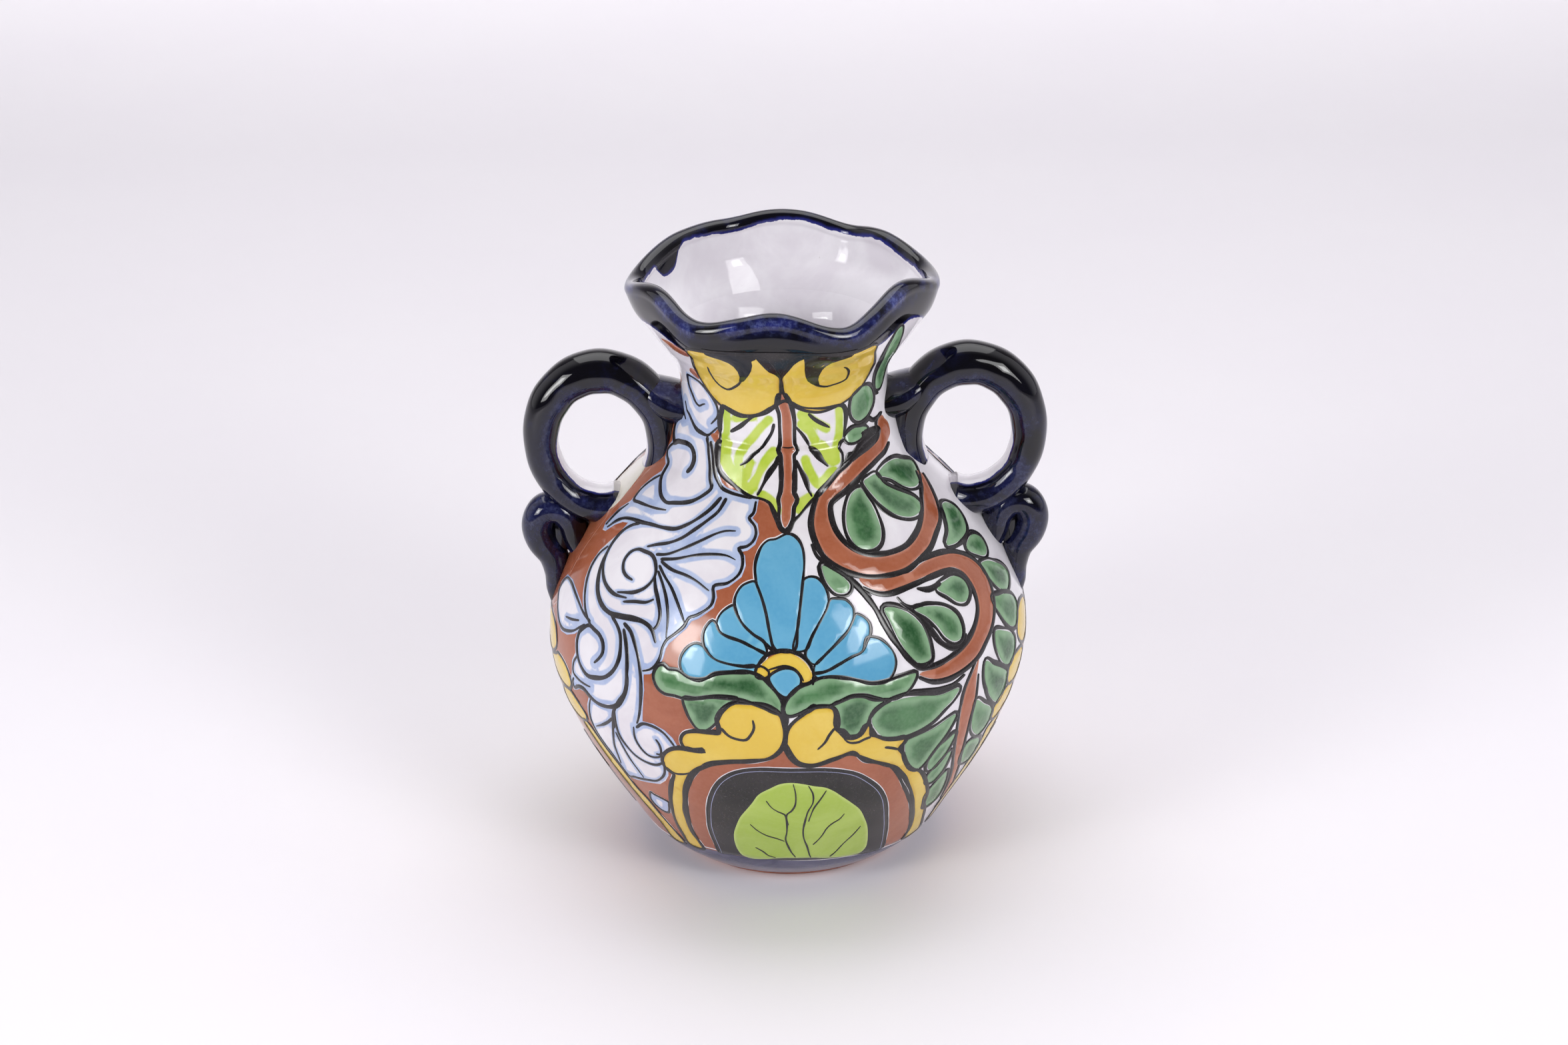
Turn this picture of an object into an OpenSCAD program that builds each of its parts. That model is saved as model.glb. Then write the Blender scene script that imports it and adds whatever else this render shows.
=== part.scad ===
// Talavera pottery vase: globular body, ruffled lip and two coil handles with scrolls.
// Origin at the centre of the foot plane, +Z up, handles along X, painted front toward -Y.

/* [Body] */
// Radius of the belly at its widest line
belly_r = 75; // [68:0.5:82]
// Height of the widest line above the foot
belly_z = 70; // [64:1:76]
// Outer radius of the foot
foot_r = 37.5; // [34:0.5:38.5]
// Inner radius of the foot ring
foot_in_r = 30; // [24:0.5:32]
// Height of the foot ring
foot_h = 3; // [2:0.5:4]
// Horizontal wall thickness of the pot
wall = 6.5; // [5:0.25:7.5]

/* [Neck and lip] */
// Height of the ledge where the neck stands on the shoulder
ledge_z = 132; // [129:1:135]
// Radius of that ledge
ledge_r = 39; // [37:0.5:41]
// Radius of the neck at its waist
waist_r = 31.5; // [30:0.25:33]
// Height where the neck ends and the lip coil starts
collar_z = 170.5; // [169:0.5:172]
// Radius of the neck at that height
collar_r = 38.2; // [37.5:0.1:39]
// Mean height of the top of the lip
lip_z = 188.6; // [187:0.2:190]
// Mean outer radius of the lip
lip_r = 46.8; // [46:0.1:49]
// Radius of the rolled bead
bead_r = 2.75; // [2.2:0.05:3.2]
// Inward pinch of the lip for each millimetre that its wave rises
lip_pinch = 0.55; // [0:0.05:0.8]
// How far the roll under the lip swells at the front and the back
lip_swell = 1.3; // [0:0.1:1.6]

/* [Handles] */
// Distance of the loop centre from the axis
loop_x = 56.2; // [55:0.2:58]
// Height of the loop centre of the right handle
loop_z = 136.5; // [134:0.5:138]
// How much lower the left handle sits
left_drop = 1; // [0:0.25:2]
// Half width of the loop centreline
loop_half_w = 18.9; // [17.5:0.1:19.5]
// Half height of the loop centreline
loop_half_h = 22.2; // [20:0.2:24]
// Half depth of the coil, front to back
coil_half_depth = 6.9; // [5.5:0.1:8]
// Scale of the scroll under each loop
scroll_scale = 1; // [0.9:0.02:1.1]

/* [Hidden] */
$fn = 96;
// Each belly and shoulder row is [share of radius, share of height] along its own stretch.
belly_shape = [[0.54, 0], [0.638, 0.1], [0.72, 0.25], [0.82, 0.44], [0.91, 0.64], [0.976, 0.84], [1, 1]];
shoulder_shape = [[1, 0], [0.978, 0.16], [0.889, 0.32], [0.75, 0.485], [0.6, 0.61],
                  [0.414, 0.742], [0.2, 0.877], [0, 1]];
// Neck rows are [radius above the waist radius, height].
neck_shape = [[6.7, ledge_z], [4.4, ledge_z + 6], [2.7, ledge_z + 11], [2.1, ledge_z + 13],
              [1.1, ledge_z + 14], [0.4, ledge_z + 17], [0, ledge_z + 22], [0.4, ledge_z + 27],
              [1.9, ledge_z + 31.5], [4.3, ledge_z + 35.5], [collar_r - waist_r, collar_z]];
// Lip crests are [angle from the front, rise, half spread]; the troughs lie between them.
crests = [[-4, 6.4, 34], [-62, 6.4, 38], [55, 7.6, 34], [80, 2, 30],
          [136, 1.8, 22], [176, 4.8, 30], [-160, 2.6, 28], [-134, 3, 32],
          [135, 3, 45], [180, 3, 45], [-135, 3, 45], [-28, 1.2, 18], [31, 1, 18]];
trough_drop = 2.6;
lip_steps = 90;
flare_steps = 6;
bead_steps = 11;
bead_start = -25;
bead_sweep = 235;
side_count = 16;
sub = 5;
inside_floor_z = belly_z * 0.1;

// Smooth curve through key points, the end points doubled.
function pick(list, i) = list[max(0, min(len(list) - 1, i))];
function spline_at(list, i, t) =
    let (a = pick(list, i - 1))
    let (b = pick(list, i))
    let (c = pick(list, i + 1))
    let (d = pick(list, i + 2))
    0.5 * (2 * b + (c - a) * t + (2 * a - 5 * b + 4 * c - d) * t * t
           + (3 * b - a - 3 * c + d) * t * t * t);
function smooth(list, steps) = [
    for (i = [0:len(list) - 2])
    for (k = [0:steps - 1])
    spline_at(list, i, k / steps),
    list[len(list) - 1]
];
function reversed(list) = [for (i = [len(list) - 1:-1:0]) list[i]];
function inward(line) = [for (p = line) [p[0] - wall, p[1]]];

belly_keys = [for (p = belly_shape) [p[0] * belly_r, foot_h + p[1] * (belly_z - foot_h)]];
shoulder_keys = [
    for (p = shoulder_shape)
    [ledge_r + p[0] * (belly_r - ledge_r), belly_z + p[1] * (ledge_z - belly_z)]
];
neck_keys = [for (p = neck_shape) [waist_r + p[0], p[1]]];
belly_line = smooth(belly_keys, sub);
shoulder_line = smooth(shoulder_keys, sub);
neck_line = smooth(neck_keys, 3);
// The floor of the pot meets the wall along the first stretch of the belly line.
heel_line = [for (i = [0:sub]) belly_line[i]];
neck_wall = wall - 1.5;

function bump(angle, crest) =
    let (off = abs(((angle - crest[0] + 540) % 360) - 180) / crest[2])
    off < 1 ? crest[1] * (1 + cos(180 * off)) / 2 : 0;
function sum(list, i = 0) = i < len(list) ? list[i] + sum(list, i + 1) : 0;
function lip_rise(angle) = sum([for (crest = crests) bump(angle, crest)]) - trough_drop;

// Swell of the roll at a height below the bead's centre.
function swell(angle, below) = lip_swell * pow(cos(angle), 2) * exp(-pow((4.5 - below) / 3, 2));

// Outer flare, bead and inner flare of the lip at one angle, as [radius, height].
function lip_section(angle) =
    let (rise = lip_rise(angle))
    let (push = -lip_pinch * rise)
    let (bead = [lip_r - bead_r + push, lip_z - bead_r + rise])
    let (outer_end = bead + bead_r * [cos(bead_start), sin(bead_start)])
    let (inner_angle = bead_start + bead_sweep)
    let (inner_end = bead + bead_r * [cos(inner_angle), sin(inner_angle)])
    let (outer_keys = [[collar_r, collar_z], [collar_r + 3, collar_z + 4 + 0.2 * rise],
                       [collar_r + 6.4 + 0.5 * push, collar_z + 8 + 0.55 * rise], outer_end])
    let (inner_keys = [inner_end, [collar_r + 1.2 + 0.5 * push, collar_z + 8 + 0.5 * rise],
                       [collar_r - 2.4, collar_z + 4 + 0.15 * rise], [collar_r - neck_wall, collar_z]])
    concat(
        [for (p = smooth(outer_keys, flare_steps / 3)) [p[0] + swell(angle, bead[1] - p[1]), p[1]]],
        [for (k = [1:bead_steps]) let (a = bead_start + bead_sweep * k / (bead_steps + 1))
            bead + [bead_r * cos(a) + max(0, cos(a)) * swell(angle, -bead_r * sin(a)), bead_r * sin(a)]],
        smooth(inner_keys, flare_steps / 3)
    );

// Closed ring of sections; angle 0 is the front and turns toward +X.
module ring_of_sections(sections) {
    rows = len(sections);
    cols = len(sections[0]);
    points = [
        for (i = [0:rows - 1])
        for (p = sections[i])
        let (a = 360 * i / rows)
        [p[0] * sin(a), -p[0] * cos(a), p[1]]
    ];
    faces = [
        for (i = [0:rows - 1])
        for (j = [0:cols - 1])
        for (half = [0, 1])
        let (n = (i + 1) % rows)
        let (m = (j + 1) % cols)
        half == 0
            ? [i * cols + j, i * cols + m, n * cols + m]
            : [i * cols + j, n * cols + m, n * cols + j]
    ];
    polyhedron(points, faces, convexity = 6);
}

// Coil along a path in the XZ plane. Each path row is [x, z, half thickness, half depth].
module coil(path) {
    last = len(path) - 1;
    points = [
        for (i = [0:last])
        for (j = [0:side_count - 1])
        let (p = path[i])
        let (ahead = pick(path, i + 1) - pick(path, i - 1))
        let (size = norm([ahead[0], ahead[1]]))
        let (across = [ahead[1], -ahead[0]] / size)
        let (a = 360 * j / side_count)
        [p[0] + across[0] * p[2] * cos(a), p[3] * sin(a), p[1] + across[1] * p[2] * cos(a)]
    ];
    sides = [
        for (i = [0:last - 1])
        for (j = [0:side_count - 1])
        for (half = [0, 1])
        let (k = (j + 1) % side_count)
        half == 0
            ? [i * side_count + j, (i + 1) * side_count + j, (i + 1) * side_count + k]
            : [i * side_count + j, (i + 1) * side_count + k, i * side_count + k]
    ];
    start_cap = [for (j = [0:side_count - 1]) j];
    end_cap = [for (j = [side_count - 1:-1:0]) last * side_count + j];
    polyhedron(points, concat(sides, [start_cap, end_cap]), convexity = 8);
}

// Path rows of the loop: up the neck, over the top, down the outside to the shoulder.
loop_start = -28;
loop_end = 284;
loop_rows = 34;
function loop_thick(t) = 5.1 + 1.7 * pow(sin(180 * min(1, t * 1.3)), 2) + pow(t, 5);
function loop_depth(t) = coil_half_depth + 2.2 * pow(1 - t, 3) + 1.4 * pow(t, 5);
loop_path = [
    for (i = [0:loop_rows])
    let (t = i / loop_rows)
    let (a = loop_start + (loop_end - loop_start) * t)
    [-loop_half_w * cos(a), loop_half_h * sin(a), loop_thick(t), loop_depth(t)]
];

// Path rows of the scroll, measured from the middle of its curl.
scroll_keys = [
    [0.4, -26, 1.2, 1.4], [-0.1, -21.5, 2.9, 3.4], [-0.8, -15.5, 4, 4.8], [0.2, -9.5, 4.7, 5.6],
    [3.4, -4, 5.1, 6], [4.4, 1.4, 5.1, 6.2], [2, 6, 5, 6.2], [-2.6, 6.2, 4.8, 6.2],
    [-5.8, 2.4, 4.6, 6.2], [-7.4, -2.4, 4.8, 6], [-9, -7, 4.1, 5.2], [-10.4, -10.4, 2.4, 3.6]
];
scroll_x = 72.6;
scroll_z = 106;

// Wad of clay filling the angle between the loop and the neck.
wad_keys = [
    [30, 147.5, 6, 10.4], [34, 148.5, 6.2, 10.4], [37.5, 150.2, 5.8, 9.6],
    [41, 152.6, 4.4, 8], [44, 155, 2, 5]
];

module pot_solid() {
    rotate_extrude()
        polygon(concat([[0, foot_h]], belly_line, shoulder_line, neck_line, [[0, collar_z]]));
}

module side(sign) {
    if (sign > 0) {
        children();
    } else {
        mirror([1, 0, 0])
            children();
    }
}

module glazed_coil(sign) {
    color([0.05, 0.06, 0.22])
        difference() {
            side(sign)
                children();
            pot_solid();
        }
}

module loop(sign) {
    drop = sign > 0 ? 0 : left_drop;
    glazed_coil(sign)
        translate([loop_x, 0, loop_z - drop])
            coil(loop_path);
}

module scroll(sign) {
    drop = sign > 0 ? 0 : 0.5 * left_drop;
    glazed_coil(sign)
        translate([scroll_x - sign * 0.4, 0, scroll_z - drop])
            scale(scroll_scale)
                coil(smooth(scroll_keys, 3));
}

module wad(sign) {
    drop = sign > 0 ? 0 : left_drop;
    color([0.05, 0.06, 0.22])
        difference() {
            side(sign)
                translate([0, 0, -drop])
                    coil(smooth(wad_keys, 3));
            pot_solid();
            side(sign)
                translate([loop_x, 0, loop_z - drop])
                    coil(loop_path);
        }
}

module foot_ring() {
    edge = 0.8;
    color([0.72, 0.42, 0.3])
        rotate_extrude()
            polygon([
                [foot_in_r, edge],
                [foot_in_r + edge, 0],
                [foot_r - edge, 0],
                [foot_r, edge],
                [foot_r + 1, foot_h],
                [foot_in_r, foot_h]
            ]);
}

module base_disc() {
    color([0.9, 0.88, 0.86])
        rotate_extrude()
            polygon(concat([[0, foot_h]], inward(heel_line), [[0, heel_line[sub][1]]]));
}

module belly() {
    color([0.78, 0.45, 0.35])
        rotate_extrude()
            polygon(concat(belly_line, reversed(inward(belly_line))));
}

module shoulder() {
    color([0.93, 0.92, 0.94])
        rotate_extrude()
            polygon(concat(shoulder_line, reversed(inward(shoulder_line))));
}

module neck_collar() {
    neck_inside = [for (p = neck_line) [p[0] - neck_wall, p[1]]];
    color([0.93, 0.82, 0.4])
        rotate_extrude()
            polygon(concat(neck_line, reversed(neck_inside)));
}

module lip_coil() {
    color([0.06, 0.07, 0.25])
        ring_of_sections([for (i = [0:lip_steps - 1]) lip_section(360 * i / lip_steps)]);
}

module left_handle_loop() {
    loop(-1);
}

module right_handle_loop() {
    loop(1);
}

module left_handle_scroll() {
    scroll(-1);
}

module right_handle_scroll() {
    scroll(1);
}

module left_neck_wad() {
    wad(-1);
}

module right_neck_wad() {
    wad(1);
}

foot_ring();
base_disc();
belly();
shoulder();
neck_collar();
lip_coil();
left_handle_loop();
right_handle_loop();
left_neck_wad();
right_neck_wad();
left_handle_scroll();
right_handle_scroll();
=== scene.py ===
import math

import bpy
import numpy as np
from mathutils import Matrix, Vector
from mathutils.geometry import delaunay_2d_cdt


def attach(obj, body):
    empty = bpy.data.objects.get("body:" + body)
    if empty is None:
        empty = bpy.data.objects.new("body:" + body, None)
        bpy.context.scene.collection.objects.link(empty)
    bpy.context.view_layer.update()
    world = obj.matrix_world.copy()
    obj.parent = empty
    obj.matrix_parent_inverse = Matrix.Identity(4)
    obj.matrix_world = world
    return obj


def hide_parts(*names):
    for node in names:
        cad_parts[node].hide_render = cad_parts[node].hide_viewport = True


# Painted pottery vase. Lengths below are in millimetres and angles in degrees until the
# meshes are written; angle 0 is the painted front (-Y) and grows toward +X.
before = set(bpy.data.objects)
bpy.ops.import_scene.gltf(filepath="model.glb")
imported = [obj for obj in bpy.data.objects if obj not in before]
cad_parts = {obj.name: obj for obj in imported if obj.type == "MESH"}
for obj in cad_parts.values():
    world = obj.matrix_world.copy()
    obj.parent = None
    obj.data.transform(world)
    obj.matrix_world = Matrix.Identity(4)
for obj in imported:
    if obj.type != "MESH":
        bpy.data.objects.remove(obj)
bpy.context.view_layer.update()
RNG = np.random.default_rng(11)
MM = 0.001
DEG = math.pi / 180

# ---------------------------------------------------------------- pot surface
FOOT_H, BELLY_R, BELLY_Z = 3, 75, 70
LEDGE_R, LEDGE_Z = 39, 132
WAIST_R, COLLAR_R, COLLAR_Z = 31.5, 38.2, 170.5
WALL, NECK_WALL = 6.5, 5
LIP_Z, LIP_R, BEAD_R, LIP_PINCH, LIP_SWELL = 188.6, 46.8, 2.75, 0.55, 1.3
BEAD_START, BEAD_SWEEP, TROUGH_DROP = -25, 235, 2.6
# Rows of the belly and the shoulder are [share of the radius, share of the height] of their stretch.
BELLY_SHAPE = [(0.54, 0), (0.638, 0.1), (0.72, 0.25), (0.82, 0.44), (0.91, 0.64), (0.976, 0.84), (1, 1)]
SHOULDER_SHAPE = [(1, 0), (0.978, 0.16), (0.889, 0.32), (0.75, 0.485), (0.6, 0.61),
                  (0.414, 0.742), (0.2, 0.877), (0, 1)]
# Rows of the neck are [radius above the waist's, height above the ledge].
NECK_SHAPE = [(6.7, 0), (4.4, 6), (2.7, 11), (2.1, 13), (1.1, 14), (0.4, 17), (0, 22),
              (0.4, 27), (1.9, 31.5), (4.3, 35.5), (6.7, 38.5)]
# Crests of the lip are [angle, rise, half spread]; the troughs lie between them.
CRESTS = [(-4, 6.4, 34), (-62, 6.4, 38), (55, 7.6, 34), (80, 2, 30),
          (136, 1.8, 22), (176, 4.8, 30), (-160, 2.6, 28), (-134, 3, 32),
          (135, 3, 45), (180, 3, 45), (-135, 3, 45), (-28, 1.2, 18), (31, 1, 18)]


def smooth(keys, steps):
    """Curve through the keys with the end keys doubled, as in the CAD source."""
    k = np.array([keys[0], *keys, keys[-1]], float)
    t = (np.arange(steps) / steps)[:, None]
    rows = []
    for a, b, c, d in zip(k, k[1:], k[2:], k[3:]):
        rows.append(0.5 * (2 * b + (c - a) * t + (2 * a - 5 * b + 4 * c - d) * t ** 2
                           + (3 * b - a - 3 * c + d) * t ** 3))
    return np.vstack([*rows, k[-1:]])


BELLY = smooth([(r * BELLY_R, FOOT_H + z * (BELLY_Z - FOOT_H)) for r, z in BELLY_SHAPE], 8)
SHOULDER = smooth([(LEDGE_R + r * (BELLY_R - LEDGE_R), BELLY_Z + z * (LEDGE_Z - BELLY_Z))
                   for r, z in SHOULDER_SHAPE], 8)
NECK = smooth([(WAIST_R + r, LEDGE_Z + z) for r, z in NECK_SHAPE], 5)


def turn_from(angle, centre):
    """Turn from a centre to an angle, between -180 and 180."""
    return (angle - centre + 540) % 360 - 180


def hump(angle, centre, half):
    """Flat-topped bump of height 1 round a centre."""
    return math.exp(-(turn_from(angle, centre) / half) ** 4)


def lip_rise(angle):
    """Height of the wave of the lip above its mean, at one angle."""
    total = -TROUGH_DROP
    for centre, rise, spread in CRESTS:
        off = abs(turn_from(angle, centre)) / spread
        if off < 1:
            total += rise * (1 + math.cos(math.pi * off)) / 2
    return total


def lip_section(angle, steps=8, bead_steps=22):
    """Outer flare, bead and inner flare of the lip at one angle, and where each begins."""
    rise = lip_rise(angle)
    push = -LIP_PINCH * rise
    bead = np.array((LIP_R - BEAD_R + push, LIP_Z - BEAD_R + rise))

    def swell(below):
        """Swell of the roll at a height below the bead's centre, as in the CAD source."""
        return LIP_SWELL * math.cos(angle * DEG) ** 2 * np.exp(-((4.5 - below) / 3) ** 2)

    def on_bead(deg):
        return bead + BEAD_R * np.array((math.cos(deg * DEG), math.sin(deg * DEG)))

    outer = smooth([(COLLAR_R, COLLAR_Z), (COLLAR_R + 3, COLLAR_Z + 4 + 0.2 * rise),
                    (COLLAR_R + 6.4 + 0.5 * push, COLLAR_Z + 8 + 0.55 * rise),
                    on_bead(BEAD_START)], steps)
    outer[:, 0] += swell(bead[1] - outer[:, 1])
    turn = BEAD_START + BEAD_SWEEP * (np.arange(bead_steps) + 1) / (bead_steps + 1)
    arc = np.array([on_bead(deg) for deg in turn])
    arc[:, 0] += np.clip(np.cos(turn * DEG), 0, 1) * swell(bead[1] - arc[:, 1])
    inner = smooth([on_bead(BEAD_START + BEAD_SWEEP),
                    (COLLAR_R + 1.2 + 0.5 * push, COLLAR_Z + 8 + 0.5 * rise),
                    (COLLAR_R - 2.4, COLLAR_Z + 4 + 0.15 * rise), (COLLAR_R - NECK_WALL, COLLAR_Z)], steps)
    return np.vstack([outer, arc, inner]), len(outer), len(outer) + bead_steps


Z_STEP, Z_TOP, A_STEP = 0.25, 190, 2
FOOT_RING_R = 38.5
EASE_WIDTH = 0.9  # how far the glaze rounds the hollow between neck and shoulder
Z_GRID = np.arange(0, Z_TOP + Z_STEP, Z_STEP)


def radius_table():
    """Outer radius of the pot by angle and height, the joint between neck and shoulder eased."""
    pot = np.vstack([[(FOOT_RING_R, 0)], BELLY, SHOULDER[1:], NECK[1:]])
    plain = np.interp(Z_GRID, pot[:, 1], pot[:, 0])
    reach = 12
    weight = np.exp(-(np.arange(-reach, reach + 1) * Z_STEP / EASE_WIDTH) ** 2)
    eased = np.convolve(np.pad(plain, reach, mode="edge"), weight / weight.sum(), mode="valid")
    near = np.clip(1.6 - np.abs(Z_GRID - LEDGE_Z) / 3, 0, 1)
    plain = plain + (eased - plain) * near
    rows = []
    for i in range(0, 360, A_STEP):
        section, n_outer, _ = lip_section(i)
        side = section[:n_outer + 3]
        lip = np.interp(Z_GRID, side[:, 1], side[:, 0])
        rows.append(np.where(Z_GRID > COLLAR_Z, lip, plain))
    return np.array(rows)


R_TABLE = radius_table()
RZ_TABLE = np.gradient(R_TABLE, Z_STEP, axis=1)
RA_TABLE = (np.roll(R_TABLE, -1, 0) - np.roll(R_TABLE, 1, 0)) / (2 * A_STEP * DEG)
S_OF_Z = np.concatenate([[0], np.cumsum(np.sqrt(1 + RZ_TABLE[0][1:] ** 2) * Z_STEP)])


def look_up(table, a, z):
    """Value of a table of the pot's surface between its columns of angles and rows of heights."""
    i = np.mod(np.asarray(a, float), 360) / A_STEP
    j = np.clip(np.asarray(z, float) / Z_STEP, 0, len(Z_GRID) - 1.001)
    i0 = np.floor(i).astype(int)
    j0 = np.floor(j).astype(int)
    fi, fj = i - i0, j - j0
    n = len(table)
    low = table[i0 % n, j0] * (1 - fj) + table[i0 % n, j0 + 1] * fj
    high = table[(i0 + 1) % n, j0] * (1 - fj) + table[(i0 + 1) % n, j0 + 1] * fj
    return low * (1 - fi) + high * fi


def radius(z):
    """Radius of the pot at its front."""
    return np.interp(z, Z_GRID, R_TABLE[0])


def arc(z):
    """Length along the pot's outline from the foot up to a height."""
    return np.interp(z, Z_GRID, S_OF_Z)


def surface(a, z, lift):
    """Points on the pot lifted along its normal, and the normal, across and up directions."""
    r, rz, ra = (look_up(t, a, z) for t in (R_TABLE, RZ_TABLE, RA_TABLE))
    sa, ca = np.sin(a * DEG), np.cos(a * DEG)
    out = np.stack([sa, -ca, 0 * r], -1)
    across = np.stack([ca, sa, 0 * r], -1)
    up = np.array([0, 0, 1.0])
    normal = out - across * (ra / r)[:, None] - up * rz[:, None]
    normal /= np.linalg.norm(normal, axis=1, keepdims=True)
    slope = out * rz[:, None] + up
    slope /= np.linalg.norm(slope, axis=1, keepdims=True)
    point = out * r[:, None] + up * np.asarray(z)[:, None] + normal * np.asarray(lift)[:, None]
    return point, normal, across, slope


# ---------------------------------------------------------------- meshes
def make_mesh(name, points, faces, normals=None, values=None, material=None):
    """Smooth-shaded object from points in millimetres; values are named numbers for each point."""
    mesh = bpy.data.meshes.new(name)
    mesh.from_pydata((np.asarray(points) * MM).tolist(), [], faces)
    mesh.update()
    mesh.polygons.foreach_set("use_smooth", np.ones(len(mesh.polygons), bool))
    for key, value in (values or {}).items():
        layer = mesh.attributes.new(key, "FLOAT", "POINT")
        layer.data.foreach_set("value", np.asarray(value, np.float32))
    if normals is not None:
        mesh.normals_split_custom_set_from_vertices(np.asarray(normals).tolist())
    if material is not None:
        mesh.materials.append(material)
    obj = bpy.data.objects.new(name, mesh)
    bpy.context.scene.collection.objects.link(obj)
    return obj


def grid_faces(rows, columns, wrap_rows=False, wrap_columns=False):
    """Quads between the rows of a grid of points; a wrapped side joins its last line to its first."""
    faces = []
    for i in range(rows if wrap_rows else rows - 1):
        k = (i + 1) % rows
        for j in range(columns if wrap_columns else columns - 1):
            m = (j + 1) % columns
            faces.append((i * columns + j, k * columns + j, k * columns + m, i * columns + m))
    return faces


def mark_sharp(obj, size, places):
    """Makes sharp corners of the rings at some places of a loop of the given size."""
    mesh = obj.data
    ends = np.zeros(len(mesh.edges) * 2, np.int32)
    mesh.edges.foreach_get("vertices", ends)
    ends = ends.reshape(-1, 2) % size
    sharp = (ends[:, 0] == ends[:, 1]) & np.isin(ends[:, 0], places)
    mesh.attributes.new("sharp_edge", "BOOLEAN", "EDGE").data.foreach_set("value", sharp)


def finish_piece(obj, slot, *nodes):
    """Fixes a piece to the root body and hides the nodes that it replaces; slot is not used."""
    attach(obj, "root")
    if nodes:
        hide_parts(*nodes)
    return obj


def sharp_shell(name, loop, columns, walls, material):
    """Closed ring of revolution from a closed (r, z) loop. walls gives, for each loop point, the
    wall that it belongs to; an edge between two walls is a sharp corner."""
    loop = np.asarray(loop, float)
    n = len(loop)
    a = np.arange(columns) * 2 * math.pi / columns
    r, z = loop[:, 0], loop[:, 1]
    points = np.stack([np.sin(a)[:, None] * r, -np.cos(a)[:, None] * r,
                       np.zeros(columns)[:, None] + z], -1).reshape(-1, 3)
    obj = make_mesh(name, points, grid_faces(columns, n, True, True), material=material)
    mark_sharp(obj, n, [j for j in range(n) if walls[j] != walls[(j + 1) % n] or walls[j] != walls[j - 1]])
    return obj


# ---------------------------------------------------------------- paint layers
layers = {}
drawn_turns = [0, 180]
LIFT_STEP, LIFT_STEPS = 0.003, 7
HOLLOW_Z, HOLLOW_REACH, HOLLOW_GRID = 134.5, 7.0, 0.8  # the sharp hollow at the foot of the neck


def layer_of(paint):
    """Store of one paint; drawn_turns says if it goes on the front, the back or both."""
    return layers.setdefault((paint, tuple(drawn_turns)), {"rows": [], "faces": [], "count": 0, "shapes": 0})


def small_rise(paint):
    """Rise that keeps the shapes of one paint from lying in one plane where they overlap."""
    return LIFT_STEP * (layer_of(paint)["shapes"] % LIFT_STEPS)


def store(paint, a, z, lift, tilt_u, tilt_s, depth, faces):
    """Adds one patch or stroke to the layer of its paint."""
    layer = layer_of(paint)
    layer["rows"].append(np.column_stack(np.broadcast_arrays(a, z, lift, tilt_u, tilt_s, depth)))
    layer["faces"] += [tuple(i + layer["count"] for i in f) for f in faces]
    layer["count"] += len(a)
    layer["shapes"] += 1


def curve(keys, step=1.0, closed=False):
    """Centripetal curve through (angle, height) keys, sampled about every step millimetres."""
    k = np.array(keys, float).reshape(-1, 2)
    flat = np.column_stack([k[:, 0] * DEG * radius(k[:, 1].mean()), arc(k[:, 1])])
    n = len(k)
    rows = []
    for i in range(n if closed else n - 1):
        ids = [(i - 1) % n, i, (i + 1) % n, (i + 2) % n] if closed else [
            max(i - 1, 0), i, i + 1, min(i + 2, n - 1)]
        p = k[ids]
        gaps = np.linalg.norm(np.diff(flat[ids], axis=0), axis=1)
        gaps = np.maximum(gaps, 1e-3) ** 0.5
        t0, t1, t2, t3 = 0, gaps[0], gaps[0] + gaps[1], gaps.sum()
        if not closed and i == 0:
            p[0] = p[1] - (p[2] - p[1])
            t0, t1, t2, t3 = 0, gaps[1], 2 * gaps[1], 2 * gaps[1] + gaps[2]
        if not closed and i == n - 2:
            p[3] = p[2] + (p[2] - p[1])
            t3 = t2 + gaps[1]
        count = max(1, int(math.ceil(gaps[1] ** 2 / step)))
        t = (t1 + (t2 - t1) * np.arange(count) / count)[:, None]
        a1 = p[0] * (t1 - t) / (t1 - t0) + p[1] * (t - t0) / (t1 - t0)
        a2 = p[1] * (t2 - t) / (t2 - t1) + p[2] * (t - t1) / (t2 - t1)
        a3 = p[2] * (t3 - t) / (t3 - t2) + p[3] * (t - t2) / (t3 - t2)
        b1 = a1 * (t2 - t) / (t2 - t0) + a2 * (t - t0) / (t2 - t0)
        b2 = a2 * (t3 - t) / (t3 - t1) + a3 * (t - t1) / (t3 - t1)
        rows.append(b1 * (t2 - t) / (t2 - t1) + b2 * (t - t1) / (t2 - t1))
    if not closed:
        rows.append(k[-1:])
    return np.vstack(rows)


def frame_of(line, closed=False):
    """Unit direction of a line at each point, in millimetres across and up the surface."""
    if closed:
        ahead, behind = np.roll(line, -1, 0), np.roll(line, 1, 0)
    else:
        ahead, behind = np.vstack([line[1:], line[-1:]]), np.vstack([line[:1], line[:-1]])
    u = (ahead[:, 0] - behind[:, 0]) * DEG * radius(line[:, 1])
    s = arc(ahead[:, 1]) - arc(behind[:, 1])
    size = np.maximum(np.hypot(u, s), 1e-6)
    return u / size, s / size


def moved(line, u, s):
    """Line points moved u millimetres across and s millimetres up the surface."""
    r = radius(line[:, 1])
    grade = np.interp(line[:, 1], Z_GRID, RZ_TABLE[0])
    return np.column_stack([line[:, 0] + u / r / DEG, line[:, 1] + s / np.sqrt(1 + grade ** 2)])


def offset(line, distance, closed=True):
    """Line moved sideways, toward its left, by a distance in millimetres."""
    tu, ts = frame_of(line, closed)
    return moved(line, -ts * distance, tu * distance)


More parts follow.
